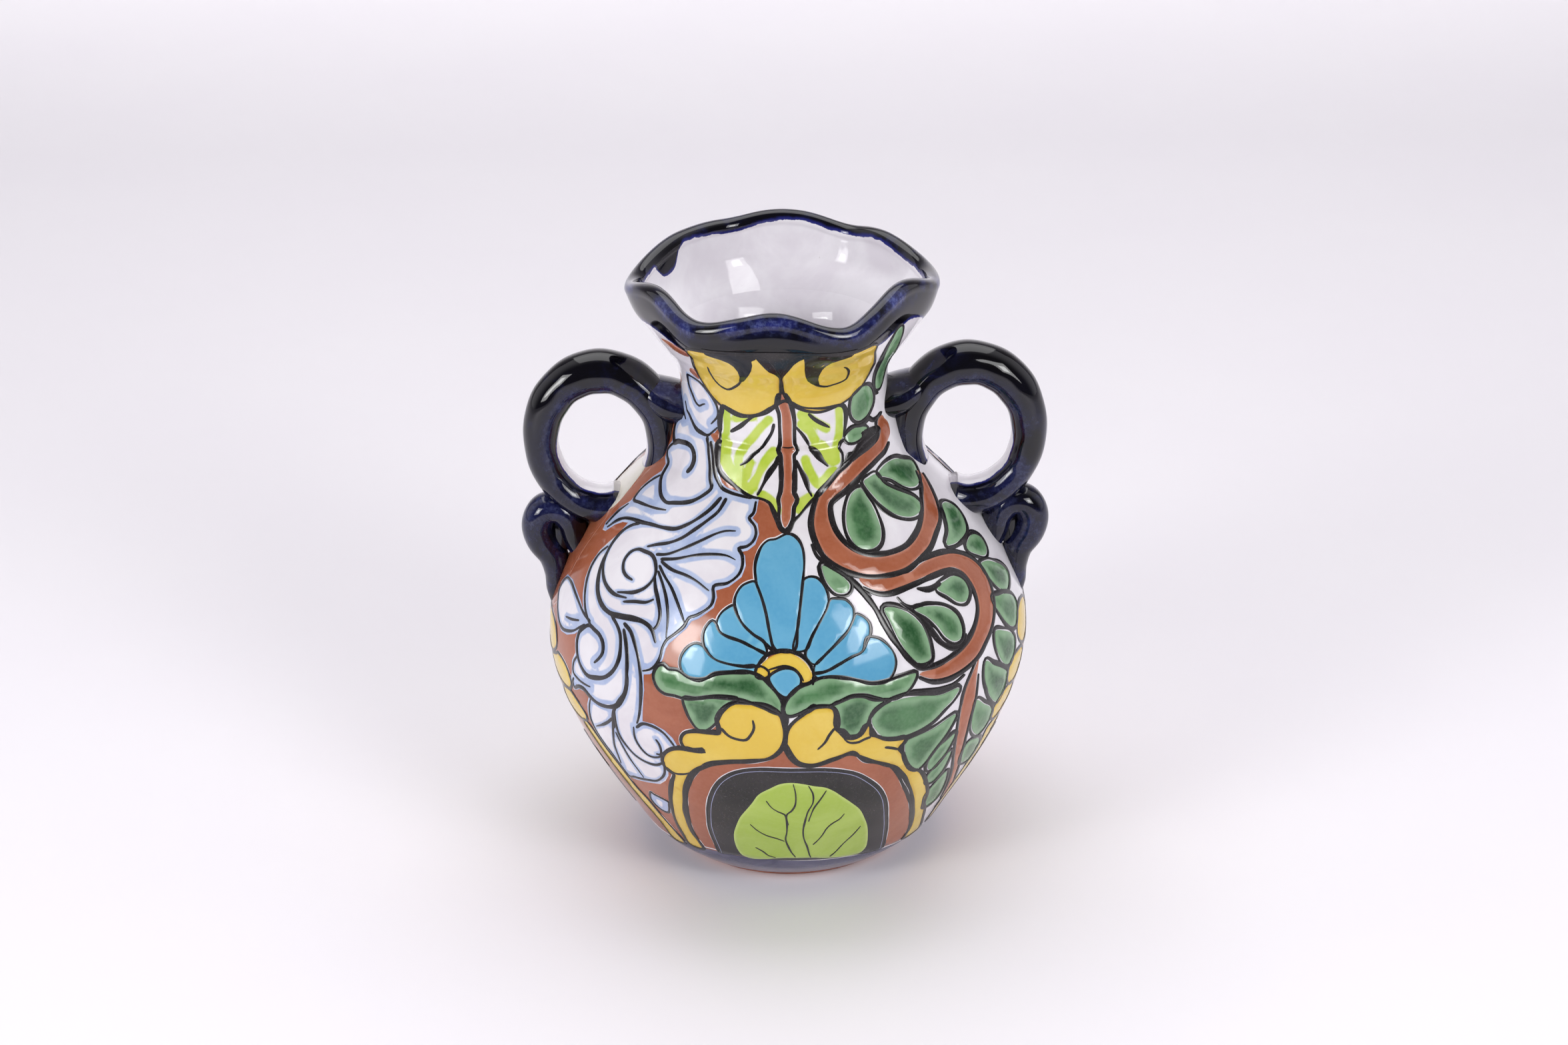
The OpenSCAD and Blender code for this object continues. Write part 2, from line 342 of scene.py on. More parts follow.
def flat_of(points):
    """Points laid out flat in millimetres, and the middle that they were laid out around."""
    mid = points.mean(0)
    return np.column_stack([(points[:, 0] - mid[0]) * DEG * radius(mid[1]), arc(points[:, 1])]), mid


def inside(points, poly):
    """Which flat points lie inside a closed outline."""
    x, y = points[:, 0:1], points[:, 1:2]
    x0, y0 = poly[:, 0], poly[:, 1]
    x1, y1 = np.roll(x0, -1), np.roll(y0, -1)
    cross = ((y0 > y) != (y1 > y)) & (x < (x1 - x0) * (y - y0) / np.where(y1 == y0, 1e-9, y1 - y0) + x0)
    return cross.sum(1) % 2 == 1


def nearest(points, targets):
    """Distance from each point to the nearest target, worked out for some targets at a time."""
    batch = 400
    best = np.full(len(points), 99.0)
    for start in range(0, len(targets), batch):
        gap = points[:, None, :] - targets[None, start:start + batch, :]
        best = np.minimum(best, np.sqrt((gap ** 2).sum(2)).min(1))
    return best


def distance_to(points, targets):
    """Nearest distance in millimetres from points to targets that both lie on the pot."""
    on_pot = [surface(p[:, 0], p[:, 1], np.zeros(len(p)))[0] for p in (points, targets)]
    return nearest(*on_pot)


def lattice(low, high, grid):
    """Points of a triangular grid that fills a rectangle."""
    heights = np.arange(low[1], high[1], grid * 0.866)
    return np.array([(x + (i % 2) * grid / 2, y) for i, y in enumerate(heights)
                     for x in np.arange(low[0], high[0], grid)]).reshape(-1, 2)


CLEAR_OF_EDGE = 0.45  # inner points keep this share of the grid away from a patch's edge
BURIED = -0.06  # a patch's skirt ends this far under the surface


def patch_mesh(flat, grid):
    """Triangles over a flat closed outline: their points, their faces and the edges of the rim."""
    low, high = flat.min(0), flat.max(0)
    coarse, fine = lattice(low, high, grid), lattice(low, high, min(grid, HOLLOW_GRID))
    spots = np.vstack([p[(np.abs(p[:, 1] - arc(HOLLOW_Z)) < HOLLOW_REACH) == tight]
                       for p, tight in ((coarse, False), (fine, True))])
    if len(spots):
        spots = spots[inside(spots, flat)]
    if len(spots):
        spots = spots[nearest(spots, flat) > grid * CLEAR_OF_EDGE]
    n = len(flat)
    outline = [(i, (i + 1) % n) for i in range(n)]
    every = [Vector(p) for p in np.vstack([flat, spots]).tolist()]
    verts, _, faces, *_ = delaunay_2d_cdt(every, outline, [list(range(n))], 1, 1e-4)
    faces = [tuple(f) for f in faces]
    edges = {(f[i], f[(i + 1) % 3]): f for f in faces for i in range(3)}
    rim = [(i, j) for i, j in edges if (j, i) not in edges]
    return np.array([tuple(v) for v in verts]), faces, rim


def fill(paint, keys, lift, grid=2.2, rounded=True, near=None, edge_tilt=0.25):
    """Closed painted patch. Its depth value is the distance to its edge, or to the near lines."""
    line = curve(keys, closed=True) if rounded else spaced(keys)
    flat, mid = flat_of(line)
    spots, faces, rim = patch_mesh(flat, grid)
    a = spots[:, 0] / DEG / radius(mid[1]) + mid[0]
    z = np.interp(spots[:, 1], S_OF_Z, Z_GRID)
    depth = distance_to(np.column_stack([a, z]), line if near is None else near)
    tilt = np.zeros((len(a), 2))
    for i, j in rim:
        d = spots[j] - spots[i]
        d /= max(np.linalg.norm(d), 1e-6)
        tilt[[i, j]] += np.array((d[1], -d[0])) * edge_tilt / 2
    on_rim = sorted({i for edge in rim for i in edge})
    skirt = {v: len(a) + i for i, v in enumerate(on_rim)}
    faces += [(i, skirt[i], skirt[j], j) for i, j in rim]
    every = np.concatenate([np.arange(len(a)), on_rim])
    lifts = np.where(np.arange(len(every)) < len(a), lift + small_rise(paint), BURIED)
    store(paint, a[every], z[every], lifts, tilt[every, 0], tilt[every, 1], depth[every], faces)
    return line


def spaced(keys):
    """Straight-sided closed outline through the keys, sampled about every millimetre."""
    k = np.array(keys, float).reshape(-1, 2)
    flat, _ = flat_of(k)
    rows = []
    for i in range(len(k)):
        j = (i + 1) % len(k)
        count = max(1, int(np.linalg.norm(flat[j] - flat[i])))
        t = (np.arange(count) / count)[:, None]
        rows.append(k[i] * (1 - t) + k[j] * t)
    return np.vstack(rows)


def wobble(length, amount, wave):
    """Slow seeded variation around 1 along a stroke."""
    total = np.ones(len(length))
    for scale in (1, 0.43):
        total += amount * scale * np.sin(length * 2 * math.pi / (wave * scale) + RNG.uniform(0, 6.28))
    return total


# Section of a domed stroke: places across it, the rise there and the lean of the normal.
ROWS = np.array([-1, -0.62, 0, 0.62, 1])
RISE = np.array([0, 0.8, 1, 0.8, 0])
LEAN = np.array([-0.4, -0.16, 0, 0.16, 0.4])
STROKE_EDGE = -0.05  # a stroke's two edges lie this far under the surface


def ribbon(paint, line, width, lift, height=0.07, closed=False, tips=(0.35, 0.35), wob=0.1, wave=17):
    """Domed brush stroke along a line. tips are the shares of the width left at its two ends."""
    if not closed:
        line = with_ends(line)
    tu, ts = frame_of(line, closed)
    flat = np.column_stack([line[:, 0] * DEG * radius(line[:, 1]), arc(line[:, 1])])
    gaps = np.linalg.norm(np.diff(flat, axis=0), axis=1)
    along = np.concatenate([[0], np.cumsum(gaps)])
    total = along[-1]
    half = width / 2 * wobble(along, wob, wave)
    if not closed:
        for gap, tip in ((along, tips[0]), (total - along, tips[1])):
            reach = min(9.0, total * 0.45)
            half = half * (tip + (1 - tip) * np.sqrt(np.clip(gap / reach, 0, 1)))
            cap = np.clip(gap / np.maximum(half, 0.05), 0, 1)
            half = half * np.sqrt(np.clip(1 - (1 - cap) ** 2, 0.0004, 1))
    else:
        blend = np.clip(np.minimum(along, total - along) / 6, 0, 1)
        half = width / 2 * (1 - blend) + half * blend
    n, m = len(line), len(ROWS)
    parts = [moved(line, -ts * half * w, tu * half * w) for w in ROWS]
    a = np.stack([p[:, 0] for p in parts], 1).ravel()
    z = np.stack([p[:, 1] for p in parts], 1).ravel()
    level = np.where(RISE > 0, lift + small_rise(paint) + height * RISE, STROKE_EDGE)
    lifts = np.tile(level, n)
    tilt_u = (-ts[:, None] * LEAN).ravel()
    tilt_s = (tu[:, None] * LEAN).ravel()
    depth = (half[:, None] * (1 - np.abs(ROWS))).ravel()
    store(paint, a, z, lifts, tilt_u, tilt_s, depth, grid_faces(n, m, wrap_rows=closed))


def with_ends(line):
    """Adds close points near both ends, for a round tip."""
    shares = np.array([0.04, 0.15, 0.35])[:, None]
    first = line[0] + (line[1] - line[0]) * shares
    last = line[-1] + (line[-2] - line[-1]) * shares[::-1]
    return np.vstack([line[:1], first, line[1:-1], last, line[-1:]])


# Heights of the layers of paint above the glaze, and the share by which lines run wider.
GROUND, WHITE, COLOUR, LINE = 0.08, 0.15, 0.21, 0.25
STROKE = 1.14
HAIR_RISE = 0.015
all_lines = []


def hairline(path, width, hair, closed, tips):
    """Pale line under a stroke that shows on both sides of it."""
    ribbon("hair", path, width + 2 * hair, WHITE - 0.02, HAIR_RISE, closed, tips, 0.06)


def line(keys, width=1.4, tips=(0.35, 0.35), hair=0.0, closed=False, gather=False, wob=0.12, shift=0.0):
    """Black outline stroke; hair is the width of the pale line showing on each side of it."""
    path = curve(keys, 1.1, closed)
    if shift:
        path = offset(path, shift, closed)
    ribbon("line", path, width * STROKE, LINE, closed=closed, tips=tips, wob=wob)
    if hair:
        hairline(path, width, hair, closed, (0.7, 0.7))
    if gather:
        all_lines.append(path)
    return path


def shape(paint, keys, width=1.3, gap=0.0, hair=0.0, lift=COLOUR, wob=0.18, grid=2.2):
    """Coloured patch with a black outline round it, gap millimetres outside its edge."""
    k = np.array(keys, float).reshape(-1, 2)
    flat, _ = flat_of(k)
    turn = (flat[:, 0] * np.roll(flat[:, 1], -1) - np.roll(flat[:, 0], -1) * flat[:, 1]).sum()
    if turn < 0:
        k = k[::-1]
    edge = fill(paint, k, lift, grid)
    if width:
        path = offset(edge, -(gap + width * 0.35))
        ribbon("line", path, width * STROKE, LINE, closed=True, wob=wob, wave=31)
        if hair:
            hairline(path, width, hair, True, (1, 1))
    return edge


# ---------------------------------------------------------------- the painted design
def draw_ground():
    """Terracotta background of the left half and of the panel under the handle."""
    fill("terracotta", [-80, 156, -77, 155, -70, 153, -63, 151, -52, 151, -44, 150, -38.5, 149.8,
                        -36.5, 147, -35.3, 143, -33.5, 138.5, -30, 135.8, -24, 134, -16, 132.6, -9, 131.2,
                        -4.5, 129.4, -2, 127, -0.8, 124, -0.6, 112, -1, 100, -1, 88, -1.2, 76, -1.4, 64,
                        -3, 52, -8, 40, -16, 28, -24, 16, -30, 9, -48, 8, -70, 8, -94, 8, -114, 8,
                        -116.5, 22, -116, 36, -114.5, 50, -113.5, 60, -108.5, 69, -100, 76, -93, 78,
                        -86, 80, -80, 86, -79.4, 100, -80.4, 120, -79.6, 140],
        GROUND, 2.2, rounded=False)
    for bit in ([-54, 165.5, -50, 168, -47.5, 168, -47, 165, -50, 163.8],
                [-60, 176.5, -52, 174.5, -43, 174.5, -40, 176.5, -50, 178],
                [-41.5, 159.2, -37, 158.2, -36.5, 156.8, -39.5, 156.6]):
        fill("terracotta", bit, GROUND)


def draw_flanks():
    """Edges of the terracotta where it meets the white behind each handle, front and back apart."""
    drawn_turns[:] = [0]
    seam = [-88, 158, -97, 156.5, -103, 151, -105, 141, -104, 128, -104.6, 114, -102.6, 100, -99, 88, -93, 78]
    fill("terracotta", [-78, 155, -82, 157, *seam, -86, 79, -79, 85, -78.4, 100, -79.4, 120, -78.6, 140],
         GROUND + 0.004, 2.2, rounded=False)
    line(seam[10:], 1.3, (0.6, 0.5), hair=0.2)
    fill("cream", [-80, 117, -84, 113, -90, 111.6, -97, 112, -101, 116, -101, 123, -96, 127.5, -88, 128.4,
                   -83, 127, -80.4, 122], WHITE + 0.02, 1.6)
    drawn_turns[:] = [180]
    line([-79, 157.6, -80, 150, -79.6, 140, -80.4, 120, -79.4, 100, -79.6, 96.4], 1.3, (0.6, 0.5), hair=0.2)
    line([-82.6, 83.4, -85.6, 80.6, -92, 79], 1.3, (0.5, 0.5), hair=0.2)
    drawn_turns[:] = [0, 180]


def draw_acanthus():
    """White acanthus leaf of the left half, its washes kept beside its own lines, and a drop."""
    g = {"gather": True}
    line([-48.6, 155.3, -51, 154.7, -54, 153.7, -57.5, 154.3, -60.5, 156.3, -62.8, 158, -63.3, 159.3,
          -61.8, 161.7, -59.5, 163.3, -56, 163.6, -50, 163, -45.5, 160.7, -41.5, 158, -39.3, 155.5,
          -39.2, 152.9, -43.8, 149.6], 1.2, hair=0.2, **g)
    line([-70.5, 152, -67.5, 149.7, -64, 149, -59, 147.3, -55, 146.3, -50, 146, -45, 146, -42, 147.5,
          -39, 149.3],
         1.3, **g)
    line([-80.5, 152.5, -79, 150.5, -75, 149.4, -71, 148, -67, 146.7], 0.9, hair=0.25, **g)
    line([-71, 147.5, -74.5, 145.5, -76.2, 143, -74.6, 140.9, -72.5, 139.7, -70, 139, -67, 140, -63, 140.7,
          -58, 141.3, -54, 141.1, -51, 139.7, -49.8, 138, -50.3, 135.7, -52.5, 133.7], 1.9, (0.3, 0.8), **g)
    line([-70, 138.7, -73, 137.3, -75, 135.3, -73.5, 134, -69, 133, -67.5, 131.7, -66, 129.7, -62, 127.7,
          -58, 126.3, -53, 125.7, -50, 126.3, -45, 127.3, -41, 128.5, -37, 130.7, -35.3, 132.3, -37, 134.3,
          -38.5, 137.7, -41, 141.3, -43, 144.3, -45, 145.7], 1.5, (0.5, 0.9), hair=0.2, **g)
    line([-41.3, 145, -38.5, 141.7, -36.5, 138.3, -34.5, 135.7, -32.5, 134.3, -30, 133, -25, 132.3,
          -20, 132, -15, 131.7], 1.5, (1, 0.3), hair=0.22, **g)
    line([-67.3, 129.7, -70.5, 127.3, -72.3, 124.3, -71.5, 121.5, -67.5, 122, -62, 122.7, -57, 123.3,
          -51, 124.2], 1.1, (0.6, 0.3), hair=0.2, **g)
    line([-72.5, 120, -74.8, 117, -76, 112.3], 1.3, (0.3, 0.8), **g)
    line([-74, 112.3, -71.5, 115.3, -68.5, 117.1, -64, 118.3, -59, 119, -54, 119.8, -47.5, 120.5,
          -42.5, 121.3, -38.5, 123.1, -35, 125.3, -31.5, 128, -28.8, 131], 1.4, (0.4, 0.9), **g)
    line([-50, 115, -47, 116.3, -42.5, 117.8, -38.5, 119.7, -35, 122.3, -31, 125.3, -28, 127.7, -26.4, 131],
         1.3, (0.4, 0.9), **g)
    line([-59, 118.7, -62, 117.3, -64.5, 115, -65.5, 112.3, -65.3, 109, -63.5, 105.7, -60.5, 103.3,
          -57.5, 102, -53, 101.3, -48, 102], 1.4, (0.8, 0.35), **g)
    line([-48.8, 106.5, -52, 106.7, -54.5, 107.7, -55.9, 109.7, -55.3, 112, -53, 113.5, -50, 113.8,
          -46.5, 113.8, -44, 112.7, -42, 110.3, -42, 108.3, -43.5, 106, -46.5, 104, -49.5, 103,
          -52.3, 102.1],
         1.3, (0.6, 0.4), **g)
    line([-66.5, 109.7, -68.3, 107, -68.5, 103.7, -67.3, 100, -65, 96.3, -62, 93, -59, 91, -57.5, 90.3],
         1.2, (0.5, 0.9), hair=0.2, **g)
    line([-65.5, 110, -64.5, 105.7, -62, 101.7, -59.5, 99, -56, 97, -52, 96.3, -47.5, 97, -43.5, 97.8,
          -40, 98, -37, 97, -34.6, 93.7], 1.9, (0.4, 0.4), **g)
    line([-48.8, 100.7, -45, 102, -41, 103, -39, 104.3], 1.2, (0.4, 0.8), **g)
    line([-42, 109.7, -40, 107, -37.5, 104.3, -35.5, 101, -35.5, 98.3, -36.3, 97], 1.4, (0.9, 0.9), **g)
    for fan in ([-45, 114.3, -41, 115.3, -36, 117.7, -31, 120.3, -26, 122.7, -22.5, 123.7, -18.8, 124],
                [-42.5, 113.7, -37, 115, -31, 116.9, -25, 118, -20, 118.2, -16.8, 117.5],
                [-42, 113.3, -37, 112.3, -32, 112, -28, 111.3, -23, 109.5],
                [-42, 112.3, -38.5, 110.3, -35, 108.3, -32, 105.7, -29.5, 103, -27.5, 100.3],
                [-41.5, 111, -38, 108.3, -35, 105, -33, 101, -32, 95.7]):
        line(fan, 1.1, (1, 0.25), **g)
    line([-13, 131.2, -13.3, 128.5, -14.7, 127.3, -12, 125.5, -11.2, 123.8, -12, 122, -14, 120.8,
          -16.5, 120.2, -15, 118.8, -14.3, 116.5, -15, 114.3, -18, 112, -22, 110.8, -21.3, 108.3,
          -21.5, 106.3, -25, 103.3, -26.9, 102.3, -27.8, 100, -30, 97.3, -31.8, 95.3, -32.5, 93,
          -32.6, 90.3, -33.5, 87.7, -35, 86, -36.8, 85.1], 1.1, (0.6, 0.5), hair=0.22, **g)
    line([-52.6, 81, -51, 83.3, -50.3, 85.3, -51, 87.7, -53, 89.3, -55.5, 89.8, -58, 90, -60, 88.3,
          -61.3, 86.3, -61.3, 83.7, -60, 80, -58, 77.3, -55, 75.7, -51.5, 76.7, -48, 78.7, -45.5, 82,
          -44.5, 85.7, -44.8, 89, -46, 92.3, -48, 94.3, -51, 96], 1.6, (0.5, 0.9), hair=0.2, **g)
    line([-58, 91, -62, 91.7, -66, 93, -70, 94, -75, 94.7, -79.5, 93.7, -81.8, 90.3, -82, 88.3, -79, 85.7,
          -75, 83.3, -71, 82.3, -67.5, 83.3, -64, 85.3, -62, 87.3,
          -60, 89.3], 1.1, (0.9, 0.6), hair=0.22, **g)
    line([-70.3, 86.3, -67, 87.3, -63, 89], 1.0, (0.3, 0.8), **g)
    line([-60, 79.3, -61.5, 76.3, -61.5, 73, -59, 72.1, -56, 72.1,
          -53.5, 72.5], 1.0, (0.7, 0.3), hair=0.2, **g)
    line([-61.3, 71.2, -62, 69.5, -61.6, 67.6, -59.5, 69.3, -56.5, 70.2, -54, 69, -51, 68.3, -47.5, 69,
          -44, 71, -42, 74.3, -41, 78.3, -41.3, 83, -42, 87, -43.5, 91,
          -45.5, 94.3], 1.7, (0.4, 0.9), hair=0.2, **g)
    line([-46, 95.7, -43, 94.3, -40.5, 91.3, -38.5, 87.7, -37.3, 84.3, -36.5, 79.7, -36.5, 75, -37, 70.3,
          -37.8, 67.7], 1.4, (1, 0.5), hair=0.25, **g)
    line([-41.8, 85, -40.8, 80.6, -41.3, 76.3, -43.3, 72.5, -44.8, 69.4, -45.8, 65.6, -46, 61.9], 1.7,
         (0.5, 0.8), **g)
    line([-44.8, 68.8, -45, 63.8, -44.5, 59.4, -43, 56.3, -41, 53.8, -37.5, 52.6, -34.5, 53.1, -32, 55.3],
         1.2, (0.8, 0.6), **g)
    line([-45.8, 60.6, -45, 56.3, -43.8, 50.6, -42.5, 46.9, -41.6, 44], 0.9, (0.9, 0.25), **g)
    line([-46, 64.4, -47, 59.4, -48.5, 53.8, -49, 49.4, -49.6, 45.6], 1.1, (0.9, 0.25), **g)
    line([-46, 65.6, -48, 63.1, -51, 60.3, -54.3, 57.8], 1.1, (0.9, 0.25), **g)
    line([-53.8, 68.4, -55, 65, -56, 60, -55.5, 55.6, -54, 51.9, -52, 48.1, -50.5, 44.4, -48.8, 40.6,
          -46.5, 41.6, -43.5, 42.5, -40, 43.8, -37, 45, -34.5, 47.5, -33, 50, -32.2, 53.1, -31.8, 56], 1.0,
         (0.5, 0.7), hair=0.22, **g)
    line([-32.8, 64.1, -32, 62.5, -31.8, 60.3, -32.3, 58.4, -33.5, 58.2], 1.1, (0.4, 0.5), **g)
    line([-38.2, 66, -36, 68.4, -33, 68.6, -30.5, 67.5, -29, 65.6,
          -27.8, 63.4], 1.2, (0.9, 0.7), hair=0.2, **g)
    line([-39, 66, -39.2, 61.9, -38, 58.1, -36.3, 56.3, -34.5, 56.3, -32.5, 57.5, -31.5, 59.7], 1.1, **g)
    white = [-72, 158.5, -80, 156, -82.5, 154, -81.5, 151, -76, 148.8, -73, 147.6, -76, 146, -77.6, 143,
             -76.4, 140.5, -73.6, 138.6, -76, 136.5, -76.5, 134.9, -74.5, 133, -70, 132.2, -68.7, 130.6,
             -71.4, 128.2, -73.4, 124.6, -72.6, 120.9, -75.8, 117.5, -77.2, 112.6, -75.6, 110.9,
             -73.6, 111.4, -71, 114.3, -68, 116.2, -64.9, 117, -65.6, 114, -67.6, 110.6, -69.3, 107.4,
             -69.6, 103.6, -68.4, 99.6, -65.9, 95.6, -62.7, 92.2, -66, 93.9, -70, 95, -75, 95.7,
             -80.2, 94.5, -82.9, 90.8, -83.1, 87.8, -79.6, 84.8, -75.2, 82.3, -70.8, 81.3, -67, 82.3,
             -63.2, 84.7, -62.2, 86, -62.3, 83.4, -61, 79.9, -62.4, 76.5, -62.5, 72.4, -63.1, 70,
             -62.4, 66.4, -60.8, 67.2, -58.6, 68.9, -56.4, 69.3, -54.6, 68.4, -56, 65, -57, 60, -56.5, 55.2,
             -55, 51.3, -52.9, 47.5, -51.4, 43.9, -49.5, 39.6, -46.3, 40.5, -43, 41.5, -39.5, 42.7, -36, 44,
             -33.5, 46.7, -31.9, 49.6, -31.2, 53, -30.8, 57, -28, 61.6, -27, 63.6, -28, 66.2, -30, 68.4,
             -33, 69.6, -36, 69.3, -35.9, 72, -35.6, 79.7, -36.3, 84.2, -34.5, 84.9, -32.7, 87.2,
             -31.7, 90.2, -31.5, 93, -30.9, 94.6, -29.2, 96.7, -26.9, 99.6, -26, 101.6, -24.3, 102.5,
             -20.6, 105.8, -20.3, 108.3, -21, 109.9, -17.4, 111.2, -14, 113.8, -13.2, 116.5, -14, 118.7,
             -15.3, 119.5, -13.4, 119.9, -11, 121.4, -10.1, 123.8, -11, 126.1, -13.4, 127.3, -12.2, 128.6,
             -11.9, 132.2, -16, 132.7, -22, 132.9, -27, 133.4, -30.8, 134.4, -32.8, 136.4, -34.2, 140,
             -35.6, 144.4, -38.6, 145.4, -42, 146, -40, 148, -38.2, 149.3, -38, 151.4, -38.5, 154,
             -39.6, 157, -43.5, 160.6, -47, 162.6, -51, 164, -56, 164.6, -60, 164.3, -63, 162.4,
             -64.6, 159.4, -66, 158.8]
    fill("wash", white, WHITE, 1.4, rounded=False, near=np.vstack(all_lines))
    drop = [-42, 37.2, -43.8, 34.7, -44.5, 32.2, -43.8, 29.7, -41.5, 28.4, -39.5, 28.8, -38, 31.3,
            -37, 33.8, -36.5, 35.3, -39.5, 36.3, -41.3, 36.6]
    path = line(drop, 1.0, closed=True, hair=0.22)
    fill("wash", drop, WHITE, 1.0, near=path)


def draw_flower():
    """Nine blue petals round a yellow crescent and a blue bud."""
    petals = [
        [-2.8, 96.3, -4.3, 98.7, -5, 101.7, -6, 105.7, -7.3, 109, -9, 112, -10.2, 116.3, -9.8, 119,
         -8.5, 121.3, -6.5, 122.5, -4, 122.8, 0, 124, 2, 123.8, 4, 122.7, 5.3, 120.7, 5.5, 117.7, 4.8, 114,
         4.3, 111.7, 3.5, 107.7, 2.5, 102.3, 1.3, 96.3],
        [-9.8, 113, -11.5, 112.7, -13.5, 111.7, -14.8, 109.7, -15, 107.5, -14, 105.3, -12, 102.7, -9, 100.3,
         -6, 98.3, -3.8, 96.3, -4.3, 98.7, -5, 101.7, -6, 105.7, -7.3, 109, -9, 112],
        [-15, 107, -17, 106, -18.5, 104.3, -19, 102, -17.8, 100.2, -16, 99.3, -12, 98.3, -9, 97, -5.5, 95.3,
         -6, 98.3, -9, 100.3, -12, 102.7, -14, 105.3],
        [-20.3, 102.7, -21.8, 100.7, -22.1, 98.3, -21.3, 95.7, -19.8, 94, -18, 92.8, -15, 92.1, -11.5, 91.8,
         -8, 92, -5.5, 95.3, -9, 97, -12, 98.3, -16, 99.3, -17.8, 100.2, -19, 102],
        [-23.5, 96.3, -25.5, 95, -26.9, 92.3, -26.9, 89.7, -26, 88, -24, 86.5, -21.5, 86.3, -19.5, 87.5,
         -17.5, 88.8, -14, 89.5, -10, 90, -8, 90.5, -8, 92, -11.5, 91.8, -15, 92.1, -18, 92.8, -19.8, 94,
         -21.3, 95.7],
        [4.8, 113.3, 6.5, 114, 8.8, 113.7, 10.5, 112.3, 11.5, 110, 11.5, 108, 10.5, 106, 8, 102.7,
         5.8, 99.3, 4.3, 96.3, 1.3, 96.3, 2.5, 102.3, 3.5, 107.7, 4.3, 111.7],
        [12, 108.3, 14, 108.3, 16.3, 107.8, 17.8, 106, 18, 105, 17.3, 102.7, 15.5, 100.3, 12.5, 97.7,
         9, 94.7, 6.3, 92.3, 4.1, 94.7, 5.8, 99.3, 8, 102.7, 10.5, 106],
        [18.3, 104, 20, 103.3, 21.5, 101.3, 21.3, 98.7, 20, 96.7, 18.3, 94.3, 15.5, 93.3, 12, 91.7, 9, 90.3,
         6, 90, 6.3, 92.3, 9, 94.7, 12.5, 97.7, 15.5, 100.3, 17.3, 102.7],
        [20, 97.7, 23, 97, 25, 95, 26.3, 92.3, 26.5, 89.7, 25.5, 87, 23.8, 85.1, 21.5, 84.7, 19, 85.1,
         16, 86.7, 13, 87.8, 10, 88.5, 6.5, 88.7, 6, 90, 9, 90.3, 12, 91.7, 15.5, 93.3, 18.3, 94.3]]
    for petal in petals:
        edge = fill("sky", petal, COLOUR, 2.0)
        ribbon("line", edge, 1.1, LINE, closed=True, wob=0.25)
        ribbon("hair", edge, 1.9, WHITE - 0.02, HAIR_RISE, True, (1, 1), 0.05)
    fill("yellow", [-6.6, 92.3, -5, 94.2, -2.5, 95.5, 0.5, 95.5, 3, 94, 4.8, 91.7, 5.5, 89.3, 4.8, 88,
                    3, 87.7, 2.5, 89, 1.3, 91, -0.8, 91.7, -3, 91, -4.8, 90,
                    -5.5, 91.3], COLOUR + 0.02, 1.4)
    line([-8, 90.3, -7.3, 92.7, -5.5, 95, -3, 96.1, 1, 96, 3.5, 94.7, 5.3, 92.3, 5.9, 89.7, 5.5, 86.7], 1.5)
    line([-5.2, 91, -3, 91.8, -0.8, 92.2, 1.5, 91.3, 2.9, 89.3, 3.4, 87.9], 1.0)
    shape("yellow", [-7.8, 91, -6.8, 91.8, -5, 90.5, -5, 89.7, -6.5, 88.9, -7.6, 89.3], 0.9, grid=1.2)
    shape("sky", [-4.5, 89, -3, 90.5, -0.8, 91.3, 1.3, 90.7, 2.5, 88.7, 2.3, 87, 0.8, 85, -0.8, 83.8,
                  -2.5, 85, -3.8, 87], 1.1, grid=1.4)


def draw_garland():
    """Green garland under the flower, with two hanging leaves."""
    shape("green", [-33.2, 85, -32.5, 87.7, -31.3, 88.3, -30, 87.5, -27.3, 87.7, -24, 86.3, -20, 87,
                    -18, 88.7, -14, 89.5, -10, 90, -7, 89, -5, 87, -3, 84.3, -2, 81.7, -2, 79, -4, 79.7,
                    -5.5, 80.7, -8, 81.8, -10.5, 82.7, -14, 83, -18, 82.7, -21, 81.7, -24, 80.9,
                    -27.5, 81.1, -30, 81, -32, 82.3], 1.3, hair=0.2)
    shape("green", [-24.8, 80.5, -24, 77, -22.8, 74, -21.3, 71.8, -20, 71.5, -18.5, 72.7, -16.8, 75.3,
                    -15.8, 78, -14, 80.7, -12, 82.3, -16, 82.6, -19, 82, -22, 81], 1.1, hair=0.2,
          lift=COLOUR - 0.01)
    shape("green", [-1, 79, -0.8, 81.3, 0.3, 83.7, 2.5, 86, 5, 87, 7, 88, 9.5, 88.3, 13, 87.7, 16.5, 86.3,
                    19.5, 85, 22.5, 84.7, 26.5, 85.1, 30, 85.3, 31.2, 85, 30, 82.7, 28, 80.7, 25.5, 79.7,
                    22.5, 80.2, 19.5, 81, 17.5, 82.3, 14.5, 82.8, 11.5, 81.8, 9.5, 81, 6.5, 80.7, 4, 80.3,
                    2, 79, 0, 78.3], 1.3, hair=0.2)
    shape("green", [10.3, 80.7, 10.6, 77.7, 10.5, 74.3, 11.5, 72, 13, 69.8, 14.5, 69.3, 16, 70, 17.3, 72.3,
                    18.3, 75.3, 20, 78, 22, 79.3, 19.8, 80.8, 17.5, 82, 14.5, 82.3, 11.5, 81.1], 1.1,
          lift=COLOUR - 0.01)
    line([-1.2, 84, -1.3, 82.7, -1.5, 79.7, -0.8, 77, -1, 75, -1.1, 71.7, -1.3, 69,
          -1.2, 66], 1.6, (0.8, 0.5))


